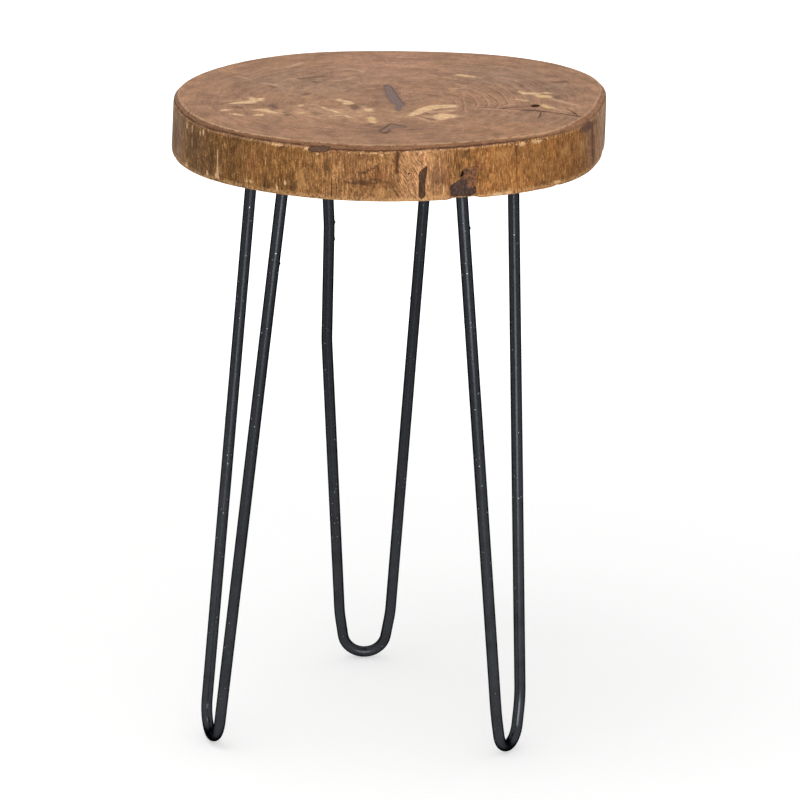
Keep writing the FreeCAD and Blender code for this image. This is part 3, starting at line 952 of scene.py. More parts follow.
woodLook = {
    # soft areas of the sanded top: across, back, half widths, colour
    "topGround": (166, 125, 96),
    "topAreas": (
        (0, 125, 50, 60, (180, 136, 110)), (-80, 60, 60, 50, (156, 123, 100)),
        (100, 80, 40, 45, (153, 122, 101)), (120, -100, 42, 26, (155, 119, 93)),
        (0, -140, 45, 18, (151, 113, 88)), (0, -5, 24, 40, (155, 117, 94)),
        (-45, -82, 60, 26, (187, 146, 113)), (104, -142, 40, 26, (170, 126, 93)),
        (-150, -20, 30, 60, (160, 120, 94)), (142, 20, 26, 34, (147, 116, 95)),
        (-66, 20, 34, 26, (172, 135, 107)),
    ),
    # soft areas of the side: bearing, half width, colour
    "sideGround": (138, 96, 55),
    "sideAreas": (
        (-168, 14, (137, 112, 91)), (-148, 11, (108, 78, 51)), (-133, 8, (107, 73, 40)),
        (-118, 10, (125, 86, 47)), (-98, 10, (135, 95, 60)), (-83, 6, (182, 133, 93)),
        (-61, 12, (152, 102, 57)), (-43, 9, (141, 93, 50)), (-26, 5, (136, 95, 70)),
        (-8, 13, (166, 135, 112)), (40, 22, (132, 100, 72)), (95, 30, (142, 102, 64)),
        (150, 20, (124, 92, 62)),
    ),
    # pale sapwood left in the top: outlines across, back
    "sapwood": (
        ((-126, -9), (-121, -10), (-119, -16), (-113, -13), (-112, -22), (-116, -27), (-119, -36),
         (-128, -37), (-139, -39), (-142, -36), (-135, -30), (-127, -25), (-125, -17)),
        ((-121, -63), (-115, -58), (-109, -58), (-105, -64), (-101, -70), (-95, -74), (-89, -75), (-90, -79),
         (-98, -78), (-104, -76), (-110, -70), (-116, -66)),
        ((-148, -63), (-143, -61), (-137, -63), (-141, -66), (-147, -68)),
        ((-142, -78), (-136, -77), (-129, -81), (-127, -86), (-131, -86), (-136, -82)),
        ((-118, -82), (-111, -79), (-109, -85), (-112, -88), (-117, -86)),
        ((-81, -42), (-76, -42), (-76, -47), (-80, -48)),
        ((-49, -20), (-45, -18), (-42, -24), (-36, -27), (-32, -35), (-32, -40), (-38, -41), (-43, -37),
         (-42, -30), (-48, -26)),
        ((-61, -50), (-58, -52), (-55, -60), (-50, -62), (-45, -70), (-43, -76), (-47, -76), (-52, -68),
         (-57, -62)), ((-53, -85), (-44, -84), (-42, -87), (-52, -89)),
        ((-40, -84), (-36, -88), (-33, -95), (-36, -96), (-39, -89)),
        ((-24, -59), (-15, -59), (-16, -68), (-21, -70)),
        ((15, -85), (20, -69), (27, -54), (38, -44), (48, -43), (57, -44), (57, -54), (48, -57), (39, -61),
         (32, -70), (26, -80), (19, -90)),
        ((36, -89), (42, -80), (49, -79), (57, -86), (56, -95), (49, -99), (44, -105), (38, -100)),
        ((113, 14), (117, 12), (124, 8), (133, 5), (134, 1), (130, -1), (120, 0), (116, 4)),
        ((134, 8), (142, 7), (143, 2), (137, 3)),
        ((110, -18), (116, -21), (121, -28), (117, -29), (112, -23)),
        ((60, 87), (66, 87), (72, 82), (83, 72), (78, 72), (68, 77), (61, 82)),
    ),
    "sapYellow": (
        ((128, -3), (142, -5), (142, -16), (134, -15), (129, -11)),
        ((131, -42), (135, -42), (140, -52), (143, -58), (138, -60), (133, -54), (131, -48)),
        ((-19, -92), (-14, -93), (-13, -105), (-12, -116), (-16, -117), (-20, -108)),
        ((-80, -73), (-76, -72), (-75, -78), (-78, -80)), ((50, -66), (54, -67), (53, -71), (50, -70)),
    ),
    # fainter pale streaks: path, half width
    "pale": (
        (((-95, 120), (-83, 141)), 3.0), (((-40, 112), (-29, 107), (-26, 100)), 3.0),
        (((-41, 64), (-33, 78)), 2.5), (((-52, 60), (-46, 60)), 2.5), (((-138, 78), (-130, 70)), 2.5),
        (((-116, 50), (-103, 42)), 2.2), (((82, -60), (96, -62.5), (109, -66)), 2.4),
        (((100, -48), (109, -41)), 2.2), (((144, -20), (152, -33), (161, -45)), 3.5),
        (((142, -60), (152, -74)), 2.0), (((-145, -26), (-133, -22)), 2.0), (((-74, -48), (-77, -62)), .8),
        (((35, 84), (42, 80)), 2.0), (((50, 76), (54, 72)), 2.0), (((60, 42), (66, 36)), 2.8),
        (((56, 24), (64, 26)), 2.6), (((113, 62), (115, 55)), 2.2),
        (((-66, -60), (-60, -72), (-52, -78)), 1.4), (((-24, -50), (-22, -58)), 3.0),
        (((34, -74), (46, -70), (54, -66)), 4.0), (((30, -90), (40, -96), (47, -92)), 3.4),
        (((56, -88), (64, -90)), 2.0), (((24, -94), (30, -105), (35, -112)), 2.2),
        (((-62, -50), (-54, -56)), 2.0), (((-46, -72), (-36, -90)), 1.8), (((-86, -47), (-78, -50)), 1.8),
        (((-72, -40), (-64, -44)), 1.8), (((-70, -56), (-62, -60)), 1.6), (((-30, -86), (-26, -92)), 1.6),
        (((-148, -30), (-138, -24)), 1.4),
    ),
    # dark stains and old worm marks: path, half width
    "dark": (
        (((-108, 36), (-104, 30)), 3.2), (((-69, 56), (-66, 52)), 3.0), (((-82, 69), (-62, 80)), 3.2),
        (((84, 45), (87, 40)), 2.0), (((42, 112), (43, 104)), 1.6), (((-135, -50), (-131, -55)), 3.2),
        (((-73, 5), (-76, 0)), 3.2), (((-67, -81), (-64, -84)), 1.8), (((-33, -46), (-31, -58)), 4.2),
        (((-104, -44), (-100, -56)), 3.6), (((118, -64), (134, -72)), 4.0), (((-8, -147), (-5, -155)), 2.6),
        (((24, -138), (14, -144)), 2.4), (((150, 52), (158, 54)), 5.0), (((147, -8), (148, -20)), 3.0),
        (((117, 42), (118, 30)), 1.4), (((165, -104), (171, -116)), 4.5), (((-17, -118), (-18, -122)), 2.4),
        (((-92, -74), (-88, -84)), 3.0), (((-68, -74), (-60, -78)), 1.6),
    ),
    # thin dark lines on the top, along the cracks partly a stain and partly painted shade of the crack: path,
    # half width
    "topLines": (
        (((76, -57), (84, -55.5), (96, -59)), 1.3),
        (((96, -59), (108, -63), (116, -66), (128, -69), (139, -75.5), (149, -81.5), (156, -86.5),
         (162.5, -93.5), (168, -93)), 1.7), (((153, -61), (156, -68), (159, -78), (161, -89)), 1.3),
        (((96, -58), (108, -54.5), (122, -51)), 1.6),
        (((130, -75), (129, -84), (128, -92), (126, -98)), 1.0), (((-8, -149), (-5, -155), (-2, -149)), 1.5),
        (((-87, -76), (-84, -88), (-80, -101)), 1.0), (((30, -74), (34, -83)), 1.2),
        (((20, -84), (29, -95), (38, -105)), 1.1), (((150, -72), (160, -84)), 1.2),
        (((-9, -143), (-7, -150), (-3, -152), (0, -145)), 1.3),
        (((-6, -138), (-2, -125), (1, -119), (13, -130)), .9),
        (((38, 61), (58, 50), (72, 37), (84, 29)), .9), (((52, 37), (69, 19), (77, -3)), .8),
    ),
    # thin dark lines on the side: path by bearing and drop, half width
    "sideLines": (
        (((-88.6, 5.5), (-88.7, 23)), 2.3), (((-73.6, 24.6), (-71.5, 21.8), (-68.8, 21.4), (-67.9, 25)), .9),
        (((-69.4, 30), (-68.2, 34)), .9), (((-75.6, 44.6), (-72, 45.4), (-68.6, 44.6)), 1.1),
        (((-114.8, 40), (-114.8, 44)), 1.6),
        (((-97.4, 24.2), (-95.6, 21.9), (-94.1, 19.1), (-92.8, 15.9)), 1.5),
        (((-93.2, 16.5), (-92.8, 22.8)), 1.2),
        (((-97.4, 32.7), (-95.6, 33.6), (-93.8, 32.4), (-92.8, 29.2)), 1.5),
        (((-99.8, 28.8), (-97.4, 30.6), (-95, 29.8), (-93.2, 27.5)), 1.3),
        (((-87.2, 18.6), (-85.6, 29.4)), .8), (((-85.3, 12.4), (-83.9, 18)), .7),
        (((-90.5, 33), (-88, 44)), 1.2), (((-101, 31.5), (-97, 33), (-93, 31.2), (-90, 31.5)), 1.4),
        (((-115.1, 31.6), (-112.1, 22.8), (-110.7, 15.5)), 1.1), (((-72.1, 8.2), (-70.9, 6.8)), 1.8),
        (((-58.8, 5.5), (-58.6, 12.9), (-57.9, 22.6)), 1.2), (((-57.9, 5.9), (-57.8, 15.8)), .9),
        (((-50.3, 5.2), (-48.8, 7.6)), 1.3), (((-25.7, 11), (-25.5, 46)), 1.6),
    ),
    # the growth rings that show, by number from the pith: paths across, back; and how far apart rings lie
    "ringStep": 8.8,
    "rings": (
        (6, ((58, -60), (58, -45), (58, -30), (54, -15), (45, -3), (30, 5), (10, 8))),
        (7, ((64, -55), (64, -35), (63, -20), (60, -5), (52, 5), (40, 14), (20, 17))),
        (8, ((76, -50), (76.5, -36), (75, -22), (73, -12), (68, 3), (60, 15), (50, 25), (32, 31))),
        (9, ((85, -53), (86, -31), (83, -13), (80, 2), (73, 18), (62, 32), (45, 42))),
        (10, ((89, -63), (93.5, -56), (95.5, -41), (95, -28), (91, -13), (87, 3), (80, 20), (70, 38),
         (50, 52))),
        (11, ((103.6, -40), (103, -31), (101.5, -18), (100, -3), (98, 10), (92, 25), (82, 42), (60, 62))),
        (12, ((112, -12), (108, -3), (104, 12), (100, 28), (90, 48), (70, 68))),
        (13, ((118, -15), (117, -5), (116, 8), (113, 23), (110, 37), (100, 55), (80, 78))),
        (14, ((127, 18), (122, 30), (120, 42), (112, 60), (90, 85))),
    ),
    # by bearing: how far down the dark line under the bevel runs
    "rimAt": (
        (-180, 3.9), (-142, 3.9), (-135, 3.2), (-112, 3.1), (-106, 4.5), (-92, 4.6), (-87, 4.3), (-81, 3.6),
        (-65, 3.6), (-58, 3.9), (-36, 4.3), (-27, 3.3), (0, 3.9), (180, 3.9),
    ),
    # by bearing: how strongly the side's fibres show, and how light the bevel is
    "crisp": (
        (-180, .75), (-156, .8), (-140, 1.0), (-105, 1.1), (-94, 1.25), (-80, 1.2), (-68, .95), (-60, .82),
        (-50, .7), (-40, .8), (-25, .9), (180, .95),
    ),
    "bevelTint": (
        (-180, .88), (-144, .80), (-134, .80), (-118, .90), (-106, .88), (-101, .82), (-93, .84), (-87, .92),
        (-82, .94), (-70, .92), (-52, 1.0), (-36, 1.12), (-15, 1.12), (20, 1), (180, .92),
    ),
    # by bearing: how far in from the rim the pale arris lies, and how dark the line under the bevel is
    "arrisAt": (
        (-180, 4.6), (-66, 4.4), (-58, 3.5), (-50, 3.0), (-45, 3.3), (-38, 4.2), (-32, 5.7), (-20, 5.3),
        (-10, 5.9), (4, 5.3), (30, 4.8), (180, 4.6),
    ),
    "rimDark": (
        (-180, 1), (-66, 1), (-56, .7), (-48, .45), (-34, .35), (-20, .3), (20, .5), (60, .9), (180, .9),
    ),
    # dark filler rubbed into the rim on the right: bearing, drop, half width, half height
    "rimPatch": ((-29.8, 8.0, 5.0, 4.4), (-26.5, 9.5, 2.4, 3.4)),
    # soft marks on the side, dark, reddish and pale: bearing, drop, half width, half height
    "sideDark": (
        (-105.5, 19, 1.0, 12), (-122.2, 40, 1.3, 7), (-114.8, 40, 1.6, 5), (-50.5, 43, 2.4, 3),
        (-71.6, 11, 1.7, 4), (-25.0, 26, 2.2, 22), (-72.4, 46, 3.6, 2.2), (-96, 23, 2.2, 1.2),
        (-93.5, 28, 1.8, 1), (-141, 30, 2.0, 10), (-151, 22, 2.4, 12), (30, 30, 2.2, 12), (75, 14, 3.0, 6),
        (110, 36, 2.0, 8), (140, 20, 2.6, 14), (168, 30, 2.4, 12), (-3, 28, 2.5, 10),
    ),
    "sidePurple": ((-78.6, 28, 1.7, 11), (-102.8, 4.6, 1.8, 1.5), (-75, 40, 1.2, 5), (-168, 30, 5, 14)),
    "sideRed": (
        (-77.2, 27, 1.5, 10), (-93, 26, 3.0, 7), (-68, 20, 2.0, 6), (-126, 24, 2.0, 12), (60, 26, 4, 12),
    ),
    "sideBright": (
        (-155.9, 10, .7, 5), (-151.9, 10, .55, 6), (-151.8, 22, .6, 7), (-146.8, 10.5, .45, 5),
        (-145.1, 9, .55, 3.4), (-138.5, 27, .35, 10), (-138.6, 38, .45, 7), (-138.7, 43, 1.2, 3),
        (-155, 44.5, 1.2, 2.4), (-142.9, 43, .6, 4), (-128.2, 41, .5, 1.6), (-126.9, 40.5, .5, 1.6),
        (-126.2, 41, .4, 1.2), (-116.5, 37.6, .5, 3.0), (-119, 43, .6, 4), (-118.6, 5.2, 2.2, 1.8),
        (-110.4, 4.8, 1.1, 2.6), (-107.7, 9.2, .6, 1.4), (-83, 6, .5, 1.6), (-77.5, 39, .3, 6),
        (-70.2, 35.6, 1.0, .8), (-64, 46, 1.6, 1.8), (-61, 46, 1.4, 1.6), (-100, 7, .7, 1.1),
        (-96.8, 7.0, 1.7, 1.1), (-94, 6.6, 1.3, 1.0), (-92.2, 8, .5, 1.8), (-90.8, 7, .7, 1.2),
        (-56.5, 7, 1.6, 1.6), (-52, 7, 2.0, 1.6), (-46, 44.5, 2.0, 2),
    ),
    "sideLight": (
        (-85.5, 14, 2.2, 8), (-80.3, 12, 1.0, 5), (-70, 37, .8, 4.5), (-62.5, 13, 3.0, 6),
        (-138, 39, 1.6, 4), (-154, 40, 1.6, 4), (-138.3, 33, .5, 9), (-127, 40.5, 2.0, 1.6),
        (-116.2, 37.5, .8, 1.6), (-112.4, 38, 1.7, 4.4), (-42, 20, 2.5, 7), (-34, 22, 2.0, 8),
        (-112, 30, 2.0, 9), (50, 34, 3, 8), (100, 16, 3, 7), (128, 34, 2, 8), (-92, 40, 3, 5),
    ),
}


def softAreas(piece):
    # the slow change of colour over the wood, blended between the areas
    x, y, z = places(piece).T
    bearing = np.degrees(np.arctan2(y, x))

    def blended(ground, areas):
        shade = np.tile(tone(*ground), (len(x), 1))
        for share, colour in areas:
            shade = shade * (1 - share[:, None]) + np.array(tone(*colour)) * share[:, None]
        return shade

    top = blended(woodLook["topGround"],
                  [(np.exp(-((x - across) / wide) ** 2 - ((y - back) / deep) ** 2) * .85, colour)
                   for across, back, wide, deep, colour in woodLook["topAreas"]])
    side = blended(woodLook["sideGround"], [(bell(turnFrom(middle, bearing), 0, wide), colour)
                                            for middle, wide, colour in woodLook["sideAreas"]])
    onSide = smoothStep(3.6, 6.6, trunk["height"] - z)[:, None]
    return top * (1 - onSide) + side * onSide


def farOutside(x, fields):
    # the greatest of many fields, and nowhere less than a value far outside all of them
    return np.maximum.reduce([np.full(x.shape, -99.0), *fields])


def inOutlines(x, y, outlines):
    return farOutside(x, [insideDistance(x, y, softCurve(outline, 4)) for outline in outlines])


def nearPaths(x, y, paths):
    return farOutside(x, [wide - lineDistance(x, y, path) for path, wide in paths])


def sidePatches(bearing, drop, listed):
    # soft upright ovals: 1.4 at the middle, 0 a little outside
    ovals = [1.4 - np.hypot(turnFrom(middle, bearing) / wide, (drop - height) / high)
             for middle, height, wide, high in listed]
    return np.maximum.reduce([0 * bearing, *ovals])


def ringField(x, y):
    # growth rings as a number that rises by one from ring to ring: even ovals, drawn to the traced rings
    pithX, pithY = trunk["pith"]

    def even(across, back):
        up = (back - pithY) * np.where(back > pithY, .83, 1.0)
        return np.hypot(across - pithX, up) / woodLook["ringStep"]

    wave = .35 * unevenness(x / 38 + 30, y / 38 + 30, 999, 301)
    wave += .12 * unevenness(x / 14 + 30, y / 14 + 30, 999, 302)
    total, drawn = np.full(x.shape, .02), .02 * wave
    for number, path in woodLook["rings"]:
        for across, back in finer(path, 5 * len(path)):
            near = np.exp(-((x - across) ** 2 + (y - back) ** 2) / 40.0)
            total = total + near
            drawn = drawn + near * (number + .5 - even(across, back))
    far = even(x, y)
    turn = np.degrees(np.arctan2(y - pithY, x - pithX))
    traced = smoothStep(.1, 1.2, total) * (1 - .5 * smoothStep(35, 75, turn))
    traced *= 1 - .4 * smoothStep(12.5, 14.5, far)
    faint = .24 * smoothStep(3, 6, far) * (1 - smoothStep(16, 21, far))
    return far + drawn / total, np.maximum(traced, faint)


def markSlab(piece):
    x, y, z = places(piece).T
    drop = trunk["height"] - z
    bearing, reach = np.degrees(np.arctan2(y, x)), np.hypot(x, y)
    onTop, onWall = drop < 3, drop > 5
    outside = -30
    writeColours(piece, "ground", softAreas(piece))
    phase, shown = ringField(x, y)
    sap, yellow = inOutlines(x, y, woodLook["sapwood"]), inOutlines(x, y, woodLook["sapYellow"])
    # the wood beside the fillers took some of their colour
    halo = np.maximum(insideDistance(x, y, centreOutline), insideDistance(x, y, arcOutline))
    # on the side, lines are measured along the girth
    perDegree = math.radians(trunk["radius"])
    sideLines = [([(middle * perDegree, height) for middle, height in path], wide)
                 for path, wide in woodLook["sideLines"]]
    fine = nearPaths(x, y, woodLook["topLines"])
    fine = np.where(onWall, np.maximum(fine, nearPaths(bearing * perDegree, drop, sideLines)), fine)
    # where pale chips show under the rim, and where the fibres slant
    chips = bell(bearing, -53, 12) + bell(bearing, -117.5, 2.4)
    chips += .8 * bell(bearing, -111, 1.2) + .3 + .4 * bell(bearing, 80, 40)
    lean = bell(bearing, -85.5, 4.5, 4) + .4 * bell(bearing, -94, 3.5) + .7 * bell(bearing, 70, 14)
    values = {
        "drop": drop,
        "inset": lobed(np.radians(bearing), trunk["radius"], trunk["lobesTop"]) - reach,
        "rings": phase,
        "ringShow": shown,
        "sapYellow": smoothStep(-2, 2, yellow - sap),
        "fineLine": np.maximum(np.where(onWall & (reach < 185), outside, fine), outside),
        # how far the wall lies sunk, in its splits and hollows; the finish paints shade from it
        "sunk": np.where((drop > 6) & (drop < 46), wallRadius(np.radians(bearing), drop) - reach, 0),
        "rimPatch": sidePatches(bearing, drop, woodLook["rimPatch"]),
        # where the rim's arris shows pale: worn, and with a painted highlight where it catches the light
        "arrisWearAndGlint": .5 + .25 * bell(bearing, -135, 30) + .12 * bell(bearing, -40, 16),
        "lean": np.clip(lean, 0, 1),
        "chips": np.clip(chips, 0, 1.2),
    }
    onTopOnly = {"sapwood": np.maximum(sap, yellow), "halo": halo}
    onTopOnly.update({name: nearPaths(x, y, woodLook[name]) for name in ("pale", "dark")})
    for name, field in onTopOnly.items():
        values[name] = np.where(onTop, np.maximum(field, outside), outside)
    for name in ("sideDark", "sideRed", "sidePurple", "sideLight", "sideBright"):
        values[name] = np.where(drop > 4.5, sidePatches(bearing, drop, woodLook[name]), 0)
    for name in ("rimAt", "crisp", "bevelTint", "arrisAt", "rimDark"):
        values[name] = np.interp(bearing, *np.array(woodLook[name]).T)
    for name, field in values.items():
        writeValues(piece, name, field)


markSlab(slab)

print("stage: finishes")

woodTones = {
    # the sanded top
    "grey": (146, 122, 104),
    "rose": (184, 134, 108),
    "ringBand": (196, 154, 124),
    "ringLine": (108, 74, 52),
    "pale": (212, 170, 140),
    "sapFringe": (190, 148, 116),
    "sap": ((200, 156, 114), (252, 214, 168)),
    "sapYellow": ((202, 164, 112), (238, 204, 146)),
    "halo": (118, 92, 84),
    "stain": (88, 64, 50),
    "darkSpecks": (96, 68, 52),
    "paleSpecks": (212, 176, 140),
    "fineLine": (80, 54, 42),
    # painted shade down in the cracks, holes and pockets of the top
    "crack": (54, 36, 26),
    # the bevel and its rim
    "bevel": ((121, 83, 57), (162, 115, 84)),
    "bevelPale": (176, 134, 104),
    "bevelDark": (104, 70, 48),
    # the arris, pale from wear and from a painted highlight
    "arris": (220, 180, 142),
    "rimLine": (80, 50, 33),
    "rimPatch": ((78, 52, 44), (116, 84, 72)),
    # the fibrous side
    "blotchDark": (112, 70, 42),
    "blotchLight": (206, 152, 92),
    "darkFibre": (72, 44, 24),
    "lightFibre": (230, 184, 130),
    "sideLine": (72, 46, 32),
    # the painted shade deep in the splits
    "split": (62, 40, 26),
    "chip": (236, 184, 122),
    "foot": (212, 166, 116),
    # the sawn underside, left unoiled
    "sawn": ((150, 112, 78), (186, 148, 108)),
    "sawnDark": (132, 96, 66),
    # marks on the side: how ragged, where the mark fades in, how strong, colour
    "sideMarks": {
        "sideRed": (1.0, (.2, 1.1), .5, (118, 70, 46)),
        "sideLight": (1.0, (.3, 1.3), .35, (214, 164, 106)),
        "sideBright": (.75, (.45, .85), .74, (234, 192, 146)),
        "sidePurple": (1.0, (.1, 1.1), .55, (104, 70, 56)),
        "sideDark": (1.0, (.2, 1.1), .6, (80, 56, 36)),
    },
    "fibreLean": 32,
    "relief": .6,
    "shine": .06,
}


def sandedTop(wood, grit, patch):
    # end grain: cloudy, with fine streaks that run round the pith
    rings = wood.mark("rings")
    fromPith = wood.vector("SUBTRACT", wood.place, (*trunk["pith"], trunk["height"]))
    upRings = wood.add("ShaderNodeCombineXYZ", {2: wood.times(rings, 3.0)}).outputs[0]
    roundPith = wood.vector("ADD", wood.scale(wood.vector("NORMALIZE", fromPith), 7.0), upRings)
    swirl = wood.noise(.42, 4, .62, vector=roundPith, distortion=.5)
    cloud, streak = wood.noise(.035, 4, .6), wood.noise(1.0, 4, .65, vector=roundPith)
    shade = wood.times(wood.span(cloud, .3, .7, .82, 1.18), wood.span(patch, .32, .68, .84, 1.16),
                       wood.span(swirl, .32, .68, .87, 1.13), wood.span(grit, .3, .7, .80, 1.20),
                       wood.span(streak, .34, .66, .92, 1.08))
    top = wood.scale(wood.mark("ground", "Color"), shade)
    greyed, reddened = wood.noise(.07, 4, .6), wood.noise(.05, 4, .6, stretch=(1, 1.6, 1))
    top = wood.mix(wood.span(greyed, .5, .72, 0, .4), top, woodTones["grey"])
    top = wood.mix(wood.span(reddened, .52, .72, 0, .35), top, woodTones["rose"])
    # growth rings: a thin dark line and a paler band beside it, here strong, there lost
    shown = wood.mark("ringShow")
    cycle = wood.math("FRACT", wood.timesPlus(wood.noise(.12, 3), .30, rings))
    band = wood.times(wood.span(wood.away(cycle, .68), .16, .04), .4, shown)
    line = wood.times(wood.span(wood.away(cycle, .5), .15, .02),
                      wood.span(wood.noise(.10, 4, .68), .38, .58, .15, 1.0), shown)
    top = wood.mix(band, top, woodTones["ringBand"])
    top = wood.mix(line, top, woodTones["ringLine"], .56)
    # ragged edges of the marks, drawn out along the sanding
    coarse = wood.timesPlus(wood.noise(.30, 3, .6, stretch=(.36, 1, 1)), 8.0, -4.0)
    ragged = wood.timesPlus(wood.noise(.8, 4, .75, stretch=(.34, .9, 1)), 9.0, wood.plus(coarse, -4.5))
    pale = wood.span(wood.plus(wood.mark("pale"), ragged), -1.5, 2.5)
    top = wood.mix(pale, top, woodTones["pale"], .55)
    # sapwood: a dull fringe and a pale, grained heart
    sap = wood.plus(wood.mark("sapwood"), ragged)
    heart = wood.times(wood.span(sap, -.7, 1.6),
                       wood.span(wood.noise(.16, 4, .65, stretch=(.5, 1, 1)), .34, .54, .72, 1.0))
    grain = wood.noise(.8, 4, .7, stretch=(.3, 1, 1))
    white = wood.mix(wood.span(grain, .38, .62), *woodTones["sap"])
    yellow = wood.mix(wood.span(grain, .36, .62), *woodTones["sapYellow"])
    top = wood.mix(wood.span(sap, -3.6, .9), top, woodTones["sapFringe"], .5)
    top = wood.mix(heart, top, wood.mix(wood.mark("sapYellow"), white, yellow))
    halo = wood.span(wood.timesPlus(ragged, .3, wood.mark("halo")), -3.6, .2)
    top = wood.mix(halo, top, woodTones["halo"], .5)
    stain = wood.span(wood.plus(wood.mark("dark"), ragged), -2.0, 2.6)
    top = wood.mix(stain, top, woodTones["stain"], .6)
    top = wood.mix(wood.specks(.30, .13), top, woodTones["darkSpecks"], .5)
    return wood.mix(wood.specks(.21, .10), top, woodTones["paleSpecks"], .5)


def wornRim(wood, top, inset):
    # the bevel, streaked along the rim, and its pale arris: wear with a painted highlight on it
    runs = wood.noise(1.0, 4, .65, stretch=(.12, .12, 1.1))
    bevel = wood.mix(wood.span(runs, .36, .64), *woodTones["bevel"])
    bevel = wood.mix(wood.span(wood.noise(.9, 4, .7), .40, .62, 0, .5), bevel, woodTones["bevelPale"])
    bevel = wood.mix(wood.span(wood.noise(.8, 4, .7), .46, .36, 0, .6), bevel, woodTones["bevelDark"])
    inward = wood.math("SUBTRACT", inset, wood.mark("arrisAt"))
    onBevel = wood.span(wood.timesPlus(wood.noise(.35, 3), 2.0, inward), 1.4, -.4)
    rim = wood.mix(onBevel, top, wood.scale(bevel, wood.mark("bevelTint")))
    arris = wood.span(wood.away(wood.timesPlus(wood.noise(.22, 3), 2.4, inward), 1.0), 1.2, .2)
    arris = wood.times(arris, wood.span(wood.noise(.18, 4, .65), .36, .53), wood.mark("arrisWearAndGlint"))
    return wood.mix(arris, rim, woodTones["arris"], .9)


def sideFibres(wood):
    # upright fibres, slanting ones where the grain turns
    turn = (0, math.radians(woodTones["fibreLean"]), 0)
    leaning = wood.add("ShaderNodeMapping", {"Vector": wood.place, "Rotation": turn}).outputs[0]
    upright = wood.noise(1.0, 4, .68, stretch=(1.25, 1.25, .12))
    slanted = wood.noise(1.0, 4, .66, vector=leaning, stretch=(1.2, 1.2, .12))
    lean = wood.mark("lean")
    return wood.plus(wood.times(upright, wood.math("SUBTRACT", 1.0, lean)), wood.times(slanted, lean))


def fibrousSide(wood, fibre, strand, speckle, grain, fineLine):
    # fibres and strands over slow broad bands, then the marks
    weave = wood.noise(1.0, 4, .7, stretch=(.22, .22, .16), distortion=.8)
    shade = wood.times(wood.span(fibre, .34, .66, .58, 1.48), wood.span(strand, .34, .66, .86, 1.15),
                       wood.span(weave, .32, .68, .78, 1.22), wood.span(speckle, .32, .68, .80, 1.22))
    shade = wood.timesPlus(wood.plus(shade, -1.0), wood.mark("crisp"), 1.0)
    sunk = wood.mark("sunk")
    broad = wood.noise(1.0, 3, .6, stretch=(.06, .06, .035))
    # painted shade: darker where the wall lies sunk, lighter where its fibres stand proud
    shade = wood.times(shade, wood.span(broad, .32, .68, .84, 1.18), wood.span(sunk, -.6, 1.0, 1.14, .84))
    side = wood.scale(wood.mark("ground", "Color"), shade)
    blotch = wood.noise(1.0, 4, .68, stretch=(.15, .15, .12), distortion=.7)
    side = wood.mix(wood.span(blotch, .46, .34, 0, .42), side, woodTones["blotchDark"])
    side = wood.mix(wood.span(blotch, .54, .68, 0, .36), side, woodTones["blotchLight"])
    darkFibre = wood.span(wood.noise(1.0, 4, .6, stretch=(.9, .9, .09)), .41, .32)
    side = wood.mix(darkFibre, side, woodTones["darkFibre"], .7)
    lightFibre = wood.span(wood.timesPlus(speckle, .5, wood.times(fibre, .7)), .66, .76)
    side = wood.mix(lightFibre, side, woodTones["lightFibre"], .72)
    for name, (ragged, fade, strength, colour) in woodTones["sideMarks"].items():
        mark = wood.span(wood.timesPlus(grain, ragged, wood.mark(name)), *fade)
        side = wood.mix(mark, side, colour, strength)
    side = wood.mix(fineLine, side, woodTones["sideLine"], .72)
    # painted shade: dark deep inside the splits
    return wood.mix(wood.span(sunk, 1.0, 1.7), side, woodTones["split"], .75)


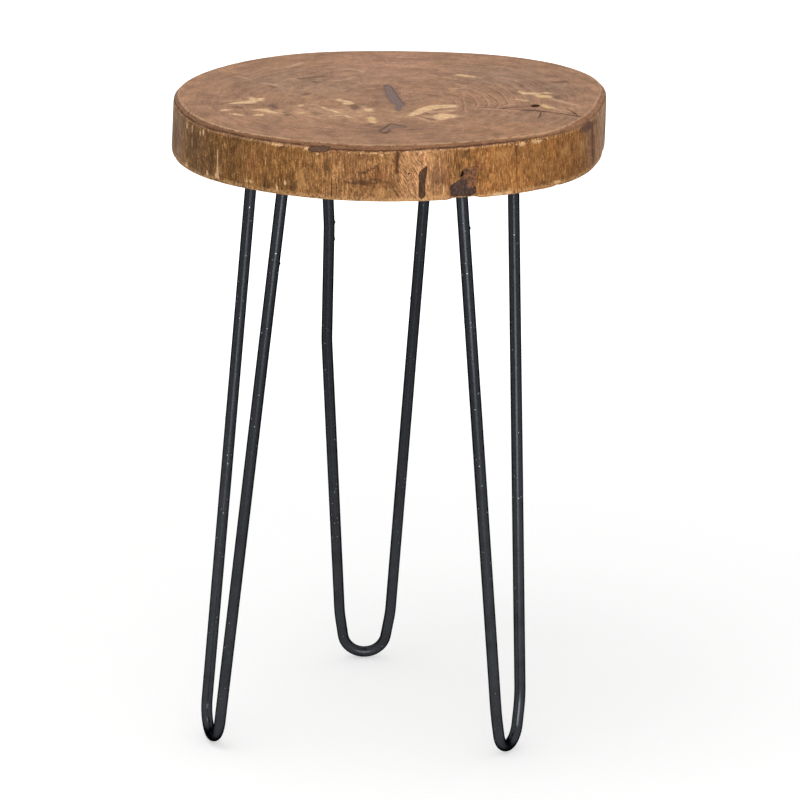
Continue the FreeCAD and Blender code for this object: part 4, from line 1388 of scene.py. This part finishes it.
def treeSliceFinish():
    wood = Finish("oiledTreeSlice")
    drop, inset = wood.mark("drop"), wood.mark("inset")
    grit = wood.noise(.75, 4, .7, stretch=(1, .5, 1))
    patch = wood.noise(.14, 5, .62, stretch=(1, .5, 1), distortion=.6)
    speckle = wood.noise(.8, 4, .75)
    # dark lines: along the cracks partly stain and partly painted shade
    fineLine = wood.span(wood.timesPlus(grit, 1.8, wood.plus(wood.mark("fineLine"), -.9)), -.2, 1.1)
    top = wood.mix(fineLine, sandedTop(wood, grit, patch), woodTones["fineLine"], .72)
    # painted shade: darker wherever the top is cut down into a crack, hole or pocket
    crackShade = wood.times(wood.span(drop, .25, .9), wood.span(inset, 5.4, 6.6))
    top = wornRim(wood, wood.mix(crackShade, top, woodTones["crack"], .85), inset)

    fibre, strand = sideFibres(wood), wood.noise(1.0, 4, .65, stretch=(.36, .36, .04))
    grain = wood.timesPlus(wood.noise(1.0, 5, .7, stretch=(.5, .5, .16)), 3.4, -1.7)
    side = fibrousSide(wood, fibre, strand, speckle, grain, fineLine)

    # the dark line under the bevel, the bright chips below it and along the foot
    ripple = wood.timesPlus(wood.noise(.22, 3), 1.2, -.6)
    ripple = wood.timesPlus(wood.noise(1.0, 3, .7, stretch=(.9, .9, .1)), 1.6, wood.plus(ripple, -.8))
    rippled = wood.plus(drop, ripple)
    lineDrop = wood.math("SUBTRACT", rippled, wood.mark("rimAt"))
    chip = wood.times(wood.span(wood.away(lineDrop, 1.7), 1.6, .4),
                      wood.span(wood.noise(.42, 4, .7), .49, .58), wood.mark("chips"))
    side = wood.mix(chip, side, woodTones["chip"], .85)
    foot = wood.times(wood.span(rippled, 42.4, 45.6), wood.span(wood.noise(.5, 4, .7), .42, .56))
    side = wood.mix(foot, side, woodTones["foot"], .56)
    onSide = wood.span(lineDrop, -.3, .4)
    rimLine = wood.times(wood.span(wood.math("ABSOLUTE", lineDrop), 1.2, .3),
                         wood.span(wood.noise(.10, 3, .6), .36, .54, .35, 1.0), wood.mark("rimDark"))
    whole = wood.mix(rimLine, wood.mix(onSide, top, side), woodTones["rimLine"], .82)
    patchAt = wood.span(wood.timesPlus(grain, .3, wood.mark("rimPatch")), .38, .62)
    whole = wood.mix(patchAt, whole, wood.mix(wood.span(speckle, .34, .64), *woodTones["rimPatch"]), .85)

    kerf = wood.noise(1.0, 3, .6, stretch=(.02, .55, 1.0))
    under = wood.mix(wood.span(kerf, .3, .7), *woodTones["sawn"])
    under = wood.mix(wood.span(wood.noise(.05, 4), .4, .65, 0, .5), under, woodTones["sawnDark"])
    whole = wood.mix(wood.span(drop, 47.3, 47.9), whole, under)
    height = wood.timesPlus(grit, .2, wood.times(wood.plus(fibre, wood.times(strand, .8)), onSide))
    rough = wood.timesPlus(wood.plus(patch, -.5), .2, wood.span(onSide, 0, 1, .66, .84))
    shine = {"Specular IOR Level": woodTones["shine"]}
    return wood.finish(whole, rough, height, woodTones["relief"], **shine)


fillerLook = {
    # grains dark and light, soft patches, edge, roughness, stretch of the grains
    "darkFiller": ((104, 84, 76), (140, 116, 106), (126, 104, 104), (116, 88, 76), .6, (1, 1, 1)),
    "greyFiller": ((118, 92, 76), (144, 114, 96), (156, 122, 98), (98, 72, 58), .65, (1, 1, 1)),
    "rimFiller": ((82, 60, 46), (116, 88, 68), (98, 72, 56), (72, 50, 38), .7, (.5, .5, .9)),
    "sideFiller": ((50, 34, 25), (96, 68, 48), (70, 48, 34), (52, 35, 25), .7, (.9, .9, .22)),
}


def fillerFinish(name):
    dark, light, patch, rim, rough, stretch = fillerLook[name]
    paste = Finish(name)
    grit = paste.noise(1.0, 4, .7, stretch=stretch)
    shade = paste.mix(paste.span(grit, .32, .68), dark, light)
    shade = paste.mix(paste.span(paste.noise(.22, 3), .46, .62), shade, patch, .7)
    edge = paste.timesPlus(grit, 2.4, paste.plus(paste.mark("edge"), -1.2))
    shade = paste.mix(paste.span(edge, 1.5, .2), shade, rim, .6)
    return paste.finish(shade, rough, grit, .16, **{"Specular IOR Level": .08})


knotTones = {
    "body": ((48, 34, 28), (90, 66, 53)),
    "core": (44, 29, 26),
    "mottled": ((70, 46, 34), (138, 92, 62)),
    "fade": (152, 104, 62),
    "pit": (20, 13, 11),
}


def knotFinish():
    # a dark streaked body, a lighter mottled part over it that fades into the wood, and a pit painted near
    # black as painted shade in its hollow
    knot = Finish("darkKnot")
    streak, blot = knot.noise(1.0, 4, .7, stretch=(.9, .9, .22)), knot.noise(.34, 4, .72)
    body = knot.mix(knot.span(streak, .36, .64), *knotTones["body"])
    body = knot.mix(knot.span(knot.noise(.3, 3), .5, .66, 0, .6), body, knotTones["core"])
    mottled = knot.mix(knot.span(blot, .38, .60), *knotTones["mottled"])
    upper = knot.span(knot.timesPlus(blot, 2.2, knot.mark("upper")), 1.3, 2.0)
    fade = knot.span(knot.timesPlus(blot, 2.4, knot.plus(knot.mark("edge"), -1.2)), 2.2, .4)
    shade = knot.mix(knot.times(fade, upper), knot.mix(upper, body, mottled), knotTones["fade"], .85)
    # painted shade: the pit's hollow darkened to near black over the dark knot wood
    shade = knot.mix(knot.span(knot.mark("pit"), .25, .7), shade, knotTones["pit"])
    return knot.finish(shade, .66, streak, .4, **{"Specular IOR Level": .2})


coatTones = {
    "black": ((34, 35, 38), (46, 48, 51)),
    "scuffs": (172, 174, 176),
    "floorSheen": (84, 86, 90),
    "edgeShine": (96, 96, 98),
    # heights between which the painted floor sheen fades out
    "floorSheenFrom": 420,
    "floorSheenTo": 60,
}


def coatFinish():
    # thick black coating with a fine orange-peel and small pale scuffs, and paler toward the foot: a painted
    # reflection of the bright floor
    coat = Finish("blackPowderCoat")
    peel, fine = coat.noise(.7, 3, .6), coat.noise(2.6, 3, .6)
    shade = coat.mix(coat.span(peel, .3, .7), *coatTones["black"])
    scuffs = coat.times(coat.specks(.23, .13), coat.span(coat.noise(.035, 2), .5, .6))
    shade = coat.mix(scuffs, shade, coatTones["scuffs"], .8)
    height = coat.add("ShaderNodeSeparateXYZ", {0: coat.place}).outputs[2]
    # painted reflection: the coating is made paler toward the foot, standing in for the floor's light on it
    floorSheen = coat.times(coat.span(height, coatTones["floorSheenFrom"], coatTones["floorSheenTo"]),
                      coat.span(coat.noise(.05, 4, .6), .3, .6, .5, 1.0))
    shade = coat.mix(floorSheen, shade, coatTones["floorSheen"], .30)
    rough = coat.span(fine, .3, .7, .21, .29)
    lumps = coat.timesPlus(fine, .6, peel)
    return coat.finish(shade, rough, lumps, .05, Metallic=1.0, **{"Specular Tint": coatTones["edgeShine"]})


screwTones = ((166, 168, 170), (196, 197, 196))


def screwFinish():
    zinc = Finish("zincScrew")
    cloud = zinc.noise(.6, 3)
    shade = zinc.mix(zinc.span(cloud, .3, .7), *screwTones)
    rough = zinc.span(zinc.noise(2.0, 3), .3, .7, .28, .46)
    return zinc.finish(shade, rough, cloud, .05, Metallic=1.0)


def markKnot(piece):
    x, y, z = places(piece).T
    along = np.radians(np.degrees(np.arctan2(y, x)) - knotShape["bearing"]) * knotShape["reach"]
    drop = trunk["height"] - z
    pitX, pitY = knotShape["pit"]
    upper = np.maximum(smoothStep(32.5, 29.5, drop), smoothStep(.5, 4, along) * smoothStep(40, 36, drop))
    writeValues(piece, "edge", insideDistance(along, drop, knotOutline))
    writeValues(piece, "upper", upper)
    writeValues(piece, "pit", 1 - smoothStep(1.2, 3.0, np.hypot(along - pitX, (drop - pitY) * .8)))


markKnot(sideKnot)
for piece, outline in ((centreFill, centreOutline), (arcFill, arcOutline)):
    x, y, z = places(piece).T
    writeValues(piece, "edge", insideDistance(x, y, outline))
# the side's fillers show no edge of their own
for piece in (rimFill, stripFill):
    writeValues(piece, "edge", np.full(len(piece.data.vertices), 9.0))

print("stage: table of pieces")

# piece, finish, slot, node
wooden = (
    (slab, treeSliceFinish(), "slab_wood", "top_slab"),
    (centreFill, fillerFinish("darkFiller"), "dark_filler", "centre_crack_fill"),
    (arcFill, fillerFinish("greyFiller"), "grey_filler", "arc_crack_fill"),
    (rimFill, fillerFinish("rimFiller"), "dark_filler", "rim_fill"),
    (stripFill, fillerFinish("sideFiller"), "dark_filler", "side_crack_fill"),
    (sideKnot, knotFinish(), "knot_wood", "side_knot"),
)
for piece, finish, slot, node in wooden:
    wear(piece, finish)
    shadeSmooth(piece, slabShape["sharpAngle"])
    place(piece, slot, node)

coat, zinc = coatFinish(), screwFinish()
for leg, (rod, welds) in legPieces.items():
    for piece, kind, shape in ((rod, "rod", rodShape), (welds, "welds", weldShape)):
        wear(piece, coat)
        shadeSmooth(piece, shape["sharpAngle"])
        place(piece, "black_coat", leg + "_leg_" + kind)
    dressNode(leg + "_leg_plate", coat)
    dressNode(leg + "_leg_screws", zinc)

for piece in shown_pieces():
    triangles = sum(len(face.vertices) - 2 for face in piece.data.polygons)
    print(piece.name, len(piece.data.vertices), "points", triangles, "triangles")

print("stage: camera, light and floor")

studio = {
    "cameraPlace": (-4.96, -2727.26, 1181.88),
    "pitch": 17.6314,
    "yaw": .2757,
    "roll": .0384,
    "focalPixels": 3124.05,
    "imagePixels": 800,
    "sensor": 36.0,
    "floorHalf": 9000.0,
    "worldLight": .725,
    "keyPlace": (-480, -420, 2700),
    "keySize": (1.1, 1.1),
    "keyWatts": 11.0,
    "fillPlace": (110, -1120, 205),
    "fillSize": (.6, .36),
    "fillWatts": 4.7,
    "lampsAim": (0, 0, .4),
    # the floor's own white near the table and far from it, and the share of the lamps' light that it shows
    "floorNear": .495,
    "floorFar": 1.0,
    "floorLit": .60,
    "floorGrey": .8,
    # from where to where the floor turns to its far white
    "floorFade": (600, 1500),
}


def setCamera():
    pitch, yaw, roll = (math.radians(studio[key]) for key in ("pitch", "yaw", "roll"))
    forward = Vector((math.sin(yaw) * math.cos(pitch), math.cos(yaw) * math.cos(pitch), -math.sin(pitch)))
    level = Vector((math.cos(yaw), -math.sin(yaw), 0))
    down = forward.cross(level)
    right = level * math.cos(roll) + down * math.sin(roll)
    up = level * math.sin(roll) - down * math.cos(roll)
    camera = bpy.data.objects.new("photoCamera", bpy.data.cameras.new("photoCamera"))
    bpy.context.scene.collection.objects.link(camera)
    turn = Matrix((right, up, -forward)).transposed()
    camera.matrix_world = Matrix.Translation(Vector(studio["cameraPlace"]) * mm) @ turn.to_4x4()
    camera.data.sensor_width = studio["sensor"]
    camera.data.lens = studio["focalPixels"] * studio["sensor"] / studio["imagePixels"]
    camera.data.clip_end = 100
    bpy.context.scene.camera = camera


def setLamp(name):
    lamp = bpy.data.lights.new(name + "Lamp", "AREA")
    lamp.shape = "RECTANGLE"
    lamp.size, lamp.size_y = studio[name + "Size"]
    lamp.energy = studio[name + "Watts"]
    holder = bpy.data.objects.new(name + "Lamp", lamp)
    bpy.context.scene.collection.objects.link(holder)
    holder.location = Vector(studio[name + "Place"]) * mm
    aim = Vector(studio["lampsAim"]) - holder.location
    holder.rotation_euler = aim.to_track_quat("-Z", "Y").to_euler()
    holder.visible_camera = False


def seenDirectly(nodes):
    # 1 for rays that show the background itself: to the camera, in gloss and through clear things
    path = nodes.add("ShaderNodeLightPath")
    seen = nodes.math("MAXIMUM", path.outputs["Is Camera Ray"], path.outputs["Is Glossy Ray"])
    return nodes.math("MAXIMUM", seen, path.outputs["Is Transmission Ray"])


def setWorld():
    world = bpy.data.worlds.new("studioLight")
    bpy.context.scene.world = world
    world.use_nodes = True
    nodes = Nodes(world.node_tree)
    strength = nodes.span(seenDirectly(nodes), 0, 1, studio["worldLight"], 1.0)
    light = nodes.add("ShaderNodeBackground", {"Color": (1, 1, 1, 1), "Strength": strength})
    nodes.add("ShaderNodeOutputWorld", {0: light.outputs[0]})


def setFloor():
    half = studio["floorHalf"]
    corners = [(-half, -half, 0), (half, -half, 0), (half, half, 0), (-half, half, 0)]
    floor = makeMesh("paleFloor", corners, [(0, 1, 2, 3)])
    paper = Finish("paleFloor")
    lit, thin = (paper.add("ShaderNodeBsdfDiffuse", {"Color": (studio[grey],) * 3 + (1,)})
                 for grey in ("floorGrey", "floorLit"))
    off = paper.add("ShaderNodeVectorMath", {0: paper.place}, operation="LENGTH").outputs["Value"]
    white = paper.span(off, *studio["floorFade"], studio["floorNear"], studio["floorFar"])
    glow = paper.add("ShaderNodeEmission", {"Color": (1, 1, 1, 1), "Strength": white})
    shown = paper.add("ShaderNodeAddShader", {0: glow.outputs[0], 1: thin.outputs[0]})
    inputs = {0: seenDirectly(paper), 1: lit.outputs[0], 2: shown.outputs[0]}
    either = paper.add("ShaderNodeMixShader", inputs)
    # the floor is clear from below, so the table can be seen from there too
    behind = paper.add("ShaderNodeNewGeometry").outputs["Backfacing"]
    clear = paper.add("ShaderNodeBsdfTransparent")
    final = paper.add("ShaderNodeMixShader", {0: behind, 1: either.outputs[0], 2: clear.outputs[0]})
    paper.add("ShaderNodeOutputMaterial", {0: final.outputs[0]})
    wear(floor, paper.material)


setCamera()
setLamp("key")
setLamp("fill")
setWorld()
setFloor()
bpy.context.scene.view_settings.view_transform = "Standard"
